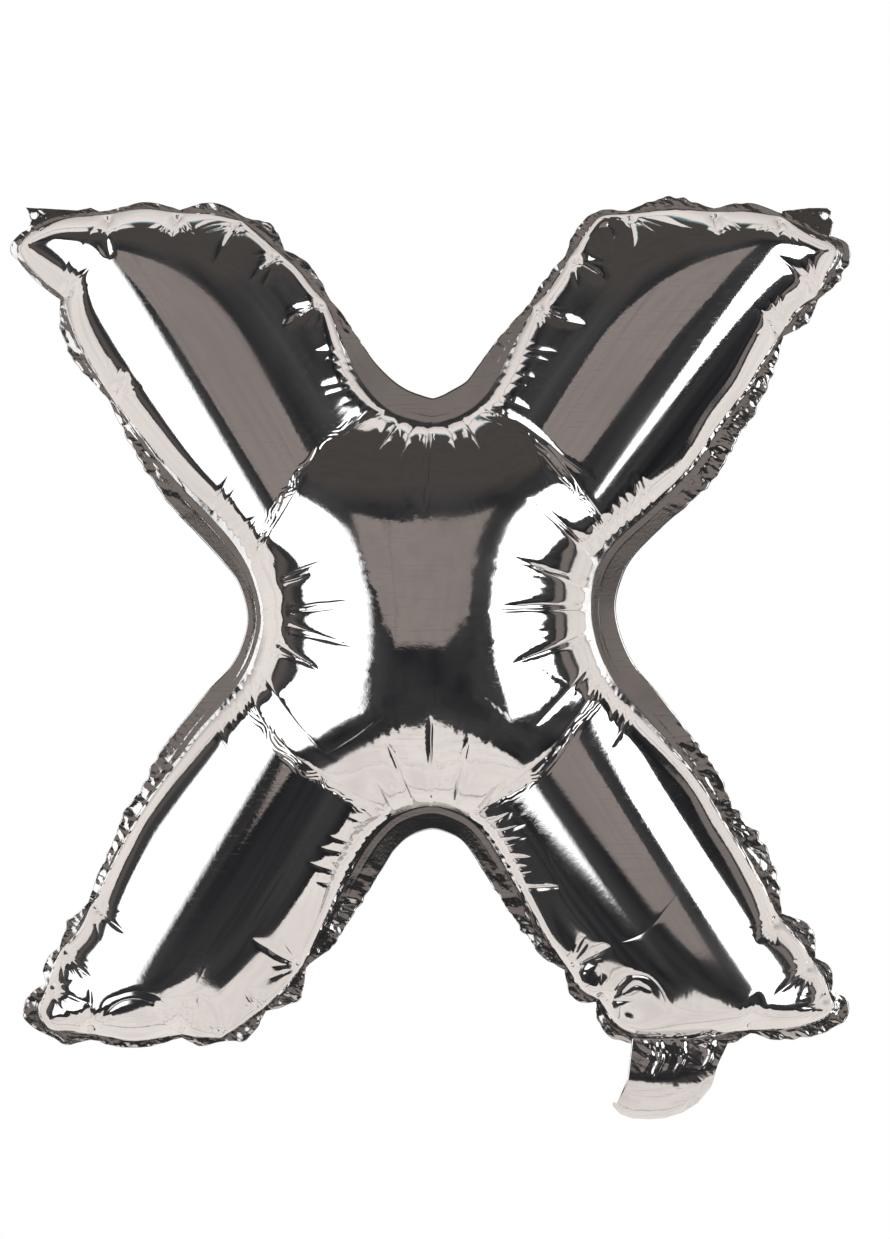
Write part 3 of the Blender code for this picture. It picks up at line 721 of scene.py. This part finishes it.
def makeTab(side):
    corners = np.array(tabs["edges"][side])
    step, inset = tabs["step"], tabs["holeInset"]
    away = abs(corners[:, 0]).max() - inset
    hole = np.array((math.copysign(away, corners[0, 0]), tabs["top"] - inset))
    turns = np.arange(tabs["holePoints"]) * math.pi / (tabs["holePoints"] / 2)
    ring = hole + tabs["hole"] * np.column_stack((np.cos(turns), np.sin(turns)))
    edge = stepped(corners, step)
    (left, low), (right, high) = edge.min(axis=0), edge.max(axis=0)
    x, z = np.meshgrid(np.arange(left, right, step), np.arange(low, high, step))
    inner = np.column_stack((x.ravel(), z.ravel()))
    inner = inner[seamDistance(inner, edge)[0] > step / 2]
    flat, triangles = triangulated(np.concatenate((edge, ring, inner)), len(edge))
    away = np.linalg.norm(flat[triangles].mean(axis=1) - hole, axis=1)
    flat, triangles = usedPoints(flat, triangles[away > tabs["hole"] * tabs["holeShare"]])
    x, z = flat.T
    y = crumpled(x, z, tabs["crumples"]) + tabs["lean"] * (z - low)
    points = np.column_stack((x, y, z))
    points, faces = thickened(points, triangles, tabs["thickness"])
    piece = makeMesh(side + "TabSkin", points, faces, materials["rim"])
    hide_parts("hanging_tab_" + side)


# The inflation neck: two strips of film and the valve between them. It hangs from the lower right
# arm, is crumpled at the weld, folds once and curls to the back. Across it, from the left edge to
# the right: x at the weld, x and z at the fold, x and z where the curl is lowest.
neck = {
    "rows": 110, "columns": 76, "top": -183.5, "thickness": 0.15,
    "gap": 0.45, "shorter": 2.0,      # each strip's distance from the middle, degrees the back one lacks
    "share": (0.0, 0.1, 0.22, 0.36, 0.5, 0.66, 0.84, 1.0),
    "weldX": (86.5, 91.0, 96.0, 102.0, 108.0, 115.0, 122.0, 128.5),
    "foldX": (84.6, 88.6, 93.2, 98.6, 104.2, 110.6, 117.2, 123.0),
    "foldZ": (-200.4, -200.8, -201.2, -201.4, -200.8, -199.0, -197.0, -195.2),
    "lowX": (79.4, 82.6, 87.8, 95.0, 101.6, 109.0, 115.4, 120.0),
    "lowZ": (-214.5, -218.4, -220.6, -221.0, -220.3, -217.8, -213.4, -206.6),
    "bend": (9.0, 108.0),      # degrees from hanging down at the fold and at the front strip's end
    "crumples": [(0.45, 5.0, 21), (0.07, 1.7, 22)], "crumpleReach": 9.0, "crumpleLeast": 0.04,
    # Ridges are at shares from the middle, with their heights. Dents have their share, width,
    # start and end along the neck, depth and lean.
    "ridges": [(-0.31, 0.35), (-0.2, 0.6), (-0.08, 0.3), (0.03, 0.45), (0.34, 0.55)],
    "ridgeWidth": 0.03, "ridgeSway": (0.02, 2.3), "ridgeStart": (0.0, 0.1), "ridgeEnd": (0.75, 1.0),
    "dents": [(0.3, 0.07, 1.38, 1.62, 1.5, 0.35), (0.4, 0.05, 1.15, 1.4, 1.0, 0.35),
              (-0.2, 0.2, 1.2, 1.9, 0.5, 0.0)],
    "valve": {"inset": 0.13, "start": 0.4, "proud": 9.0},      # proud: degrees beyond the strips
}


def neckSheet(offset, inset, start, turnTo):      # one strip: rows run down from the weld to its end
    rows, columns = neck["rows"], neck["columns"]
    share = np.linspace(inset, 1 - inset, columns)
    keys = ("weldX", "foldX", "foldZ", "lowX", "lowZ")
    weldX, foldX, foldZ, lowX, lowZ = (np.interp(share, neck["share"], neck[key]) for key in keys)
    first, last = math.radians(neck["bend"][0]), math.radians(turnTo)
    radius = (foldZ - lowZ) / (1 - math.sin(first))
    down = np.linspace(start, 2, rows)[:, None]      # 0 at the weld, 1 at the fold, 2 at the end
    flat, turn = np.clip(down, 0, 1), first + np.clip(down - 1, 0, 1) * (last - first)
    run = np.clip(np.sin(turn) - math.sin(first), 0, 1) / (1 - math.sin(first))
    x = weldX + (foldX - weldX) * flat + (lowX - foldX) * run * (down > 1)
    z = neck["top"] + (foldZ - neck["top"]) * flat - radius * (np.sin(turn) - math.sin(first))
    y = radius * (math.cos(first) - np.cos(turn))
    reach = neck["crumpleReach"]
    amount = np.exp(-(((neck["top"] - z) / reach) ** 2) / 2) + neck["crumpleLeast"]
    y = y + amount * crumpled(x, z, neck["crumples"])
    sway, pitch = neck["ridgeSway"]
    for place, height in neck["ridges"]:
        away = (share - 0.5 - place + sway * np.sin(z / pitch)) / neck["ridgeWidth"]
        ridge = height * np.exp(-away ** 2) * (1 - ease(down, *neck["ridgeEnd"]))
        y = y - ridge * ease(down, *neck["ridgeStart"])
    for place, width, begin, end, depth, lean in neck["dents"]:
        along = np.clip((down - begin) / (end - begin), 0, 1)
        away = (share - 0.5 - place + lean * (down - begin)) / width
        hollow = depth * np.exp(-away ** 2) * np.sin(along * math.pi)
        y = y + hollow * np.cos(turn)
        z = z + hollow * np.sin(turn)
    points = np.stack((x, y, z), axis=-1).reshape(-1, 3)
    triangles = gridTriangles(rows, columns)[:, ::-1]
    return points + surfaceNormals(points, triangles) * offset, triangles


def makeNeck():
    gap, turn, valve = neck["gap"], neck["bend"][1], neck["valve"]
    sheets = [("neckFrontSkin", "neck_front_film", "neck", gap, 0.0, 0.0, turn),
              ("neckBackSkin", "neck_back_film", "neck", -gap, 0.0, 0.0, turn - neck["shorter"]),
              ("valveSkin", "valve_film", "valve", 0.0, valve["inset"], valve["start"],
               turn + valve["proud"])]
    for name, node, finish, offset, inset, start, turnTo in sheets:
        points, triangles = neckSheet(offset, inset, start, turnTo)
        points, faces = thickened(points, triangles, neck["thickness"])
        piece = makeMesh(name, points, faces, materials[finish])
        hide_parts(node)


# Effects shared by the films, the rim and the neck, on coordinates in millimetres.
foil = {
    "smudge": {"scale": 0.021, "detail": 5.0, "range": (0.45, 0.62)},
    "streak": {"scale": 0.9, "detail": 1.0, "range": (0.62, 0.7), "stretch": (0.03, 1.0, 1.0),
               "turns": (60, -58)},
    "crinkle": {"scales": (0.5, 1.6), "details": (2.0, 1.0), "fineShare": 0.4},
    "pucker": {"scale": 0.2, "fineScale": 0.54, "detail": 0.0, "fineShare": 0.35},
    "braid": {"pitch": 1.8, "scale": 0.07, "detail": 1.0, "range": (0.3, 0.7), "wander": 3.0},
}


def effect(name, inputs, output):      # an empty shared group with its sockets
    group = bpy.data.node_groups.new(name, "ShaderNodeTree")
    for key, kind, value in inputs:
        socket = group.interface.new_socket(key, in_out="INPUT", socket_type=kind)
        if value is not None:
            socket.default_value = value
    group.interface.new_socket(output, in_out="OUTPUT", socket_type="NodeSocketFloat")
    return group, group.nodes.new("NodeGroupInput"), group.nodes.new("NodeGroupOutput")


def feed(tree, socket, value):      # a link from another socket, or a plain number
    if isinstance(value, bpy.types.NodeSocket):
        tree.links.new(value, socket)
    else:
        socket.default_value = value


def mathNode(tree, kind, one, two):      # each side is a socket or a number
    node = tree.nodes.new("ShaderNodeMath")
    node.operation = kind
    feed(tree, node.inputs[0], one)
    feed(tree, node.inputs[1], two)
    return node.outputs[0]


def noise(tree, vector, scale, detail, stretch=None, turn=0.0):      # turn is in degrees
    if stretch:
        mapping = tree.nodes.new("ShaderNodeMapping")
        mapping.inputs["Scale"].default_value = stretch
        mapping.inputs["Rotation"].default_value = (0, math.radians(turn), 0)
        tree.links.new(vector, mapping.inputs["Vector"])
        vector = mapping.outputs[0]
    node = tree.nodes.new("ShaderNodeTexNoise")
    node.inputs["Scale"].default_value = scale
    node.inputs["Detail"].default_value = detail
    tree.links.new(vector, node.inputs["Vector"])
    return node.outputs["Fac"]


def ranged(tree, value, low, high, bottom=0.0, top=1.0):
    node = tree.nodes.new("ShaderNodeMapRange")
    for key, number in (("From Min", low), ("From Max", high), ("To Min", bottom), ("To Max", top)):
        node.inputs[key].default_value = number
    tree.links.new(value, node.inputs["Value"])
    return node.outputs["Result"]


def colorMix(tree, share, one, two):      # from colour one to colour two, by a socket's share
    node = tree.nodes.new("ShaderNodeMix")
    node.data_type = "RGBA"
    for socket, color in zip((node.inputs[6], node.inputs[7]), (one, two)):      # its colour sockets
        socket.default_value = (*color, 1)
    tree.links.new(share, node.inputs[0])
    return node.outputs[2]


def scaled(tree, vector, scale):      # a vector times a number or a socket
    node = tree.nodes.new("ShaderNodeVectorMath")
    node.operation = "SCALE"
    tree.links.new(vector, node.inputs[0])
    feed(tree, node.inputs["Scale"], scale)
    return node.outputs[0]


def wearGroup():      # smudges and long faint streaks: where the film is duller
    group, start, end = effect("foilWear", [("Vector", "NodeSocketVector", None)], "Wear")
    kind, vector = foil["smudge"], start.outputs["Vector"]
    smudge = ranged(group, noise(group, vector, kind["scale"], kind["detail"]), *kind["range"])
    kind = foil["streak"]
    streaks = [noise(group, vector, kind["scale"], kind["detail"], kind["stretch"], turn)
               for turn in kind["turns"]]
    streak = ranged(group, mathNode(group, "MAXIMUM", *streaks), *kind["range"])
    group.links.new(mathNode(group, "MAXIMUM", smudge, streak), end.inputs["Wear"])
    return group


def crinkleGroup():      # fine unevenness of stretched film
    group, start, end = effect("foilCrinkle", [("Vector", "NodeSocketVector", None),
                                               ("Size", "NodeSocketFloat", 1.0)], "Height")
    kind = foil["crinkle"]
    share = mathNode(group, "DIVIDE", 1.0, start.outputs["Size"])
    vector = scaled(group, start.outputs["Vector"], share)
    slow, fast = (noise(group, vector, *pair) for pair in zip(kind["scales"], kind["details"]))
    heights = mathNode(group, "ADD", slow, mathNode(group, "MULTIPLY", fast, kind["fineShare"]))
    group.links.new(heights, end.inputs["Height"])
    return group


def puckerGroup():      # ridges that run in from the seam; the vector is the nearest place on it
    group, start, end = effect("seamPucker", [("Place", "NodeSocketVector", None),
                                              ("Amount", "NodeSocketFloat", 0.0),
                                              ("Ripple", "NodeSocketFloat", 0.0)], "Height")
    kind, place = foil["pucker"], start.outputs["Place"]
    coarse = noise(group, place, kind["scale"], kind["detail"])
    fine = noise(group, place, kind["fineScale"], kind["detail"])
    ridges = mathNode(group, "ADD", coarse, mathNode(group, "MULTIPLY", fine, kind["fineShare"]))
    puckers = mathNode(group, "MULTIPLY", ridges, start.outputs["Amount"])
    ripples = mathNode(group, "MULTIPLY", fine, start.outputs["Ripple"])
    group.links.new(mathNode(group, "ADD", puckers, ripples), end.inputs["Height"])
    return group


def braidGroup():      # thin strands that wander along a fold; the vector is along, across and amount
    group, start, end = effect("foldBraid", [("Fold", "NodeSocketVector", None)], "Height")
    kind = foil["braid"]
    parts = group.nodes.new("ShaderNodeSeparateXYZ")
    group.links.new(start.outputs["Fold"], parts.inputs[0])
    along = group.nodes.new("ShaderNodeCombineXYZ")
    group.links.new(parts.outputs["X"], along.inputs["X"])
    cloud = noise(group, along.outputs[0], kind["scale"], kind["detail"])
    wander = ranged(group, cloud, *kind["range"], -kind["wander"], kind["wander"])
    across = mathNode(group, "ADD", parts.outputs["Y"], wander)
    wave = mathNode(group, "SINE", mathNode(group, "MULTIPLY", across, 2 * math.pi / kind["pitch"]), 0.0)
    group.links.new(mathNode(group, "MULTIPLY", wave, parts.outputs["Z"]), end.inputs["Height"])
    return group


def useGroup(tree, group, **links):      # a shared effect in a material, with its sockets fed
    node = tree.nodes.new("ShaderNodeGroup")
    node.node_tree = effects[group]
    for key, value in links.items():
        feed(tree, node.inputs[key], value)
    return node


def attribute(tree, name):
    node = tree.nodes.new("ShaderNodeAttribute")
    node.attribute_name = name
    return node


def newMaterial(name):      # a material, its nodes and its object's coordinates
    material = bpy.data.materials.new(name)
    material.use_nodes = True
    place = material.node_tree.nodes.new("ShaderNodeTexCoord")
    return material, material.node_tree, place.outputs["Object"]


# Each foil has its clean and worn colour, its roughness clean and worn, and its crinkles' height in
# millimetres and size. Only the films have puckers, ripples and braided folds.
foils = {
    "film": {"name": "silverFilm", "color": (0.86, 0.85, 0.85), "worn": (0.8, 0.79, 0.79),
             "roughness": (0.045, 0.1), "crinkle": 0.012, "size": 1.0, "relief": True},
    "rim": {"name": "silverRim", "color": (0.66, 0.65, 0.64), "worn": (0.55, 0.54, 0.53),
            "roughness": (0.09, 0.2), "crinkle": 0.05, "size": 0.8, "relief": False},
    "neck": {"name": "neckFilm", "color": (0.8, 0.79, 0.79), "worn": (0.7, 0.69, 0.69),
             "roughness": (0.07, 0.16), "crinkle": 0.02, "size": 1.0, "relief": False},
}


def foilMaterial(finish):
    material, tree, place = newMaterial(finish["name"])
    shader = tree.nodes["Principled BSDF"]
    shader.inputs["Metallic"].default_value = 1.0
    place = scaled(tree, place, 1 / mm)
    wear = useGroup(tree, "wear", Vector=place).outputs["Wear"]
    tree.links.new(colorMix(tree, wear, finish["color"], finish["worn"]), shader.inputs["Base Color"])
    tree.links.new(ranged(tree, wear, 0, 1, *finish["roughness"]), shader.inputs["Roughness"])
    fine = useGroup(tree, "crinkle", Vector=place, Size=finish["size"])
    height = mathNode(tree, "MULTIPLY", fine.outputs["Height"], finish["crinkle"])
    if finish["relief"]:
        pucker = useGroup(tree, "pucker", Place=attribute(tree, "seamPlace").outputs["Vector"],
                          Amount=attribute(tree, "pucker").outputs["Fac"],
                          Ripple=attribute(tree, "ripple").outputs["Fac"])
        braid = useGroup(tree, "braid", Fold=attribute(tree, "fold").outputs["Vector"])
        relief = mathNode(tree, "ADD", pucker.outputs["Height"], braid.outputs["Height"])
        height = mathNode(tree, "ADD", height, relief)
    bump = tree.nodes.new("ShaderNodeBump")
    bump.inputs["Distance"].default_value = mm
    tree.links.new(height, bump.inputs["Height"])
    tree.links.new(bump.outputs["Normal"], shader.inputs["Normal"])
    return material


# The valve's plain film is milky and a little clear.
valveLook = {"color": (0.82, 0.83, 0.84, 1), "clear": 0.25, "roughness": (0.2, 0.42),
             "cloud": (140.0, 3.0), "cloudRange": (0.3, 0.7)}


def valveMaterial():
    material, tree, place = newMaterial("valveFilm")
    shader = tree.nodes["Principled BSDF"]
    shader.inputs["Base Color"].default_value = valveLook["color"]
    shader.inputs["Transmission Weight"].default_value = valveLook["clear"]
    cloud = noise(tree, place, *valveLook["cloud"])
    tree.links.new(ranged(tree, cloud, *valveLook["cloudRange"], *valveLook["roughness"]),
                   shader.inputs["Roughness"])
    return material


# Round the balloon stand flat lights and panels, seen only in the film. Each card has its colour,
# its brightness, the shares of its width and height over which it fades at the left, right, low
# and high edge, where 0 is sharp, and its corners in metres: the low ones, left to right as they
# are seen from outside the stage, and then the high ones back.
studio = {
    "wall": (1.0, 1.0, 1.0), "gloom": ((0.009, 0.01, 0.012), (0.062, 0.06, 0.062)),
    "gloomNoise": (2.6, 3.0), "gloomRange": (0.3, 0.72),
    "mottle": 0.9, "mottleNoise": (3.2, 3.0), "mottleRange": (0.34, 0.56),      # uneven colours
    "cardGrid": 40, "sharp": 0.0001,
    "floorHeight": -0.6, "floorBack": 1.75, "floorFront": -4.0, "floorSide": 3.0,
    "floorColors": ((0.89, 0.88, 0.87), (0.91, 0.9, 0.89)), "floorNoise": (7.0, 6.0),
    "floorRoughness": 0.8,
    "colors": {
        "white": (1.0, 1.0, 1.0), "cream": (0.9, 0.84, 0.8), "sand": (0.88, 0.82, 0.78),
        "shade": (0.3, 0.29, 0.28), "grey": (0.273, 0.238, 0.221), "brown": (0.2, 0.175, 0.165),
        "darkBrown": (0.1, 0.088, 0.082), "umber": (0.07, 0.062, 0.057), "teal": (0.13, 0.27, 0.3),
    },
    "cards": [
        ("softboxLeft", "white", 1.7, (0.02, 0.2, 0.05, 0.03),
         [(-1.3, -0.36, -0.9), (-1.2, -3.1, -1.25), (-1.35, -2.75, 0.8), (-1.3, -0.36, 1.0)]),
        ("softboxRight", "white", 2.4, (0.06, 0.02, 0.03, 0.03),
         [(1.3, -2.02, -1.0), (1.3, -0.34, 0.1), (1.3, -0.34, 1.0), (1.3, -2.02, 0.7)]),
        ("greyPanel", "grey", 1.0, (0, 0, 0.02, 0.02),
         [(-0.82, -3.4, -0.42), (0.54, -3.4, -0.42), (0.9, -3.4, 1.7), (-0.82, -3.4, 1.7)]),
        ("greyPanelLeft", "grey", 1.0, (0.02, 0, 0.02, 0.02),
         [(-1.6, -3.42, 0.5), (-0.8, -3.42, -0.41), (-0.8, -3.42, 1.7), (-1.6, -3.42, 1.7)]),
        ("greyPanelRight", "grey", 1.0, (0, 0.05, 0.02, 0.02),
         [(0.51, -3.42, -0.43), (1.22, -3.42, 0.0), (1.58, -3.42, 1.7), (0.87, -3.42, 1.7)]),
        ("ceiling", "umber", 1.0, (0.1, 0.1, 0.3, 0.05),
         [(-2.0, -3.5, 2.1), (2.0, -3.5, 2.1), (2.0, 1.8, 2.1), (-2.0, 1.8, 2.1)]),
        ("backdrop", "cream", 1.0, (0.01, 0.01, 0.01, 0),
         [(2.4, 0.5, -1.5), (-2.4, 0.5, -1.5), (-2.4, 0.5, 0.9), (2.4, 0.5, 0.9)]),
        ("backdropLeft", "cream", 1.0, (0, 0.01, 0, 0),
         [(-0.26, 0.5, 0.88), (-2.4, 0.5, 0.88), (-2.4, 0.5, 2.3), (-0.34, 0.5, 2.3)]),
        ("backdropRight", "cream", 1.0, (0.01, 0, 0, 0),
         [(2.4, 0.5, 0.88), (0.26, 0.5, 0.88), (0.34, 0.5, 2.3), (2.4, 0.5, 2.3)]),
        ("backdropMiddle", "cream", 1.0, (0, 0, 0, 0),
         [(0.07, 0.5, 0.88), (-0.07, 0.5, 0.88), (-0.05, 0.5, 2.3), (0.05, 0.5, 2.3)]),
        ("backdropShade", "shade", 1.0, (0.3, 0.3, 0.15, 0.75),
         [(0.7, 0.49, 0.0), (-0.7, 0.49, 0.0), (-0.7, 0.49, 0.66), (0.7, 0.49, 0.66)]),
        ("trimLeft", "teal", 1.0, (0, 0.01, 0, 0),
         [(-0.33, 0.49, 1.8), (-2.4, 0.49, 1.8), (-2.4, 0.49, 2.1), (-0.34, 0.49, 2.1)]),
        ("trimRight", "teal", 1.0, (0.01, 0, 0, 0),
         [(2.4, 0.49, 1.8), (0.33, 0.49, 1.8), (0.34, 0.49, 2.1), (2.4, 0.49, 2.1)]),
        ("trim", "teal", 1.0, (0, 0, 0, 0),
         [(0.3, 0.51, 0.8), (-0.3, 0.51, 0.8), (-0.3, 0.51, 1.0), (0.3, 0.51, 1.0)]),
        ("lightFloor", "sand", 1.0, (0, 0.02, 0.02, 0.02),
         [(-1.2, -0.62, -1.5), (1.8, -0.85, -1.5), (2.4, 0.5, -1.5), (-1.2, 0.5, -1.5)]),
        ("lightFloorLeft", "sand", 1.0, (0.02, 0, 0.02, 0.02),
         [(-1.7, 0.4, -1.49), (-1.19, -0.6, -1.49), (-1.19, 0.5, -1.49), (-1.7, 0.5, -1.49)]),
        ("sideRight", "brown", 1.0, (0.06, 0.06, 0.03, 0.03),
         [(2.6, -0.22, -1.5), (2.6, 0.33, -1.5), (2.6, 0.33, 1.5), (2.6, -0.22, 1.5)]),
        ("sideLeft", "darkBrown", 1.0, (0.2, 0.4, 0.03, 0.03),
         [(-2.6, 0.45, -1.5), (-2.6, -0.3, -1.5), (-2.6, -0.3, 1.5), (-2.6, 0.45, 1.5)]),
        ("lightAisle", "sand", 1.0, (0.05, 0.05, 0.02, 0.02),
         [(-0.32, -2.35, -1.5), (0.28, -2.35, -1.5), (0.75, -0.6, -1.5), (-0.75, -0.6, -1.5)]),
    ],
}


def stageObject(name, mesh, material):
    mesh.materials.append(material)
    piece = bpy.data.objects.new(name, mesh)
    bpy.context.scene.collection.objects.link(piece)
    return piece


def cardMaterial(name, color, strength):      # a light that fades out where the mesh says
    material, tree, place = newMaterial(name)
    nodes, links = tree.nodes, tree.links
    nodes.remove(nodes["Principled BSDF"])
    light = nodes.new("ShaderNodeEmission")
    light.inputs["Strength"].default_value = strength
    cloud = ranged(tree, noise(tree, place, *studio["mottleNoise"]), *studio["mottleRange"])
    dim = [part * studio["mottle"] for part in color]
    links.new(colorMix(tree, cloud, dim, color), light.inputs["Color"])
    mix = nodes.new("ShaderNodeMixShader")
    links.new(attribute(tree, "glow").outputs["Fac"], mix.inputs["Fac"])
    links.new(nodes.new("ShaderNodeBsdfTransparent").outputs[0], mix.inputs[1])
    links.new(light.outputs[0], mix.inputs[2])
    links.new(mix.outputs[0], nodes["Material Output"].inputs["Surface"])
    return material


def makeCard(name, color, strength, fades, corners):
    count = studio["cardGrid"]
    low, right, high, left = map(np.array, corners)
    points, glow = [], []
    for up in np.arange(count + 1) / count:
        for across in np.arange(count + 1) / count:
            base = low + (right - low) * across
            top = left + (high - left) * across
            points.append(tuple(base + (top - base) * up))
            edges = zip((across, 1 - across, up, 1 - up), fades)
            glow.append(math.prod(min(1.0, edge / (fade or studio["sharp"])) for edge, fade in edges))
    row = count + 1
    firsts = [up * row + across for up in range(count) for across in range(count)]
    mesh = bpy.data.meshes.new(name)
    mesh.from_pydata(points, [], [(here, here + 1, here + row + 1, here + row) for here in firsts])
    mesh.attributes.new("glow", "FLOAT", "POINT").data.foreach_set("value", glow)
    card = stageObject(name, mesh, cardMaterial(name, studio["colors"][color], strength))
    card.visible_camera = card.visible_diffuse = card.visible_shadow = False


def makeFloor():
    low, high = studio["floorFront"], studio["floorBack"]
    side, height = studio["floorSide"], studio["floorHeight"]
    mesh = bpy.data.meshes.new("floor")
    mesh.from_pydata([(-side, low, height), (side, low, height), (side, high, height),
                      (-side, high, height)], [], [(0, 1, 2, 3)])
    paint, tree, place = newMaterial("floor")
    shader = tree.nodes["Principled BSDF"]
    shader.inputs["Roughness"].default_value = studio["floorRoughness"]
    cloud = noise(tree, place, *studio["floorNoise"])
    tree.links.new(colorMix(tree, cloud, *studio["floorColors"]), shader.inputs["Base Color"])
    stageObject("floor", mesh, paint).visible_glossy = False


def makeWorld():      # white to the eye, and dim to what mirrors it
    world = bpy.data.worlds.new("studio")
    bpy.context.scene.world = world
    world.use_nodes = True
    tree = world.node_tree
    nodes, links = tree.nodes, tree.links
    nodes.clear()
    wall, gloom = nodes.new("ShaderNodeBackground"), nodes.new("ShaderNodeBackground")
    wall.inputs["Color"].default_value = (*studio["wall"], 1)
    way = nodes.new("ShaderNodeTexCoord").outputs["Generated"]
    cloud = ranged(tree, noise(tree, way, *studio["gloomNoise"]), *studio["gloomRange"])
    links.new(colorMix(tree, cloud, *studio["gloom"]), gloom.inputs["Color"])
    mix = nodes.new("ShaderNodeMixShader")
    links.new(nodes.new("ShaderNodeLightPath").outputs["Is Glossy Ray"], mix.inputs["Fac"])
    links.new(wall.outputs[0], mix.inputs[1])
    links.new(gloom.outputs[0], mix.inputs[2])
    links.new(mix.outputs[0], nodes.new("ShaderNodeOutputWorld").inputs["Surface"])


def makeStudio():
    for card in studio["cards"]:
        makeCard(*card)
    makeFloor()
    makeWorld()
    bpy.context.scene.view_settings.view_transform = "Standard"


effects = {"wear": wearGroup(), "crinkle": crinkleGroup(), "pucker": puckerGroup(),
           "braid": braidGroup()}
materials = {key: foilMaterial(finish) for key, finish in foils.items()}
materials["valve"] = valveMaterial()
print("materials made")
makeCamera()
makeFilms()
makeRim()
for side in tabs["edges"]:
    makeTab(side)
makeNeck()
print("rim, tabs and neck made")
makeStudio()
print("stage set")
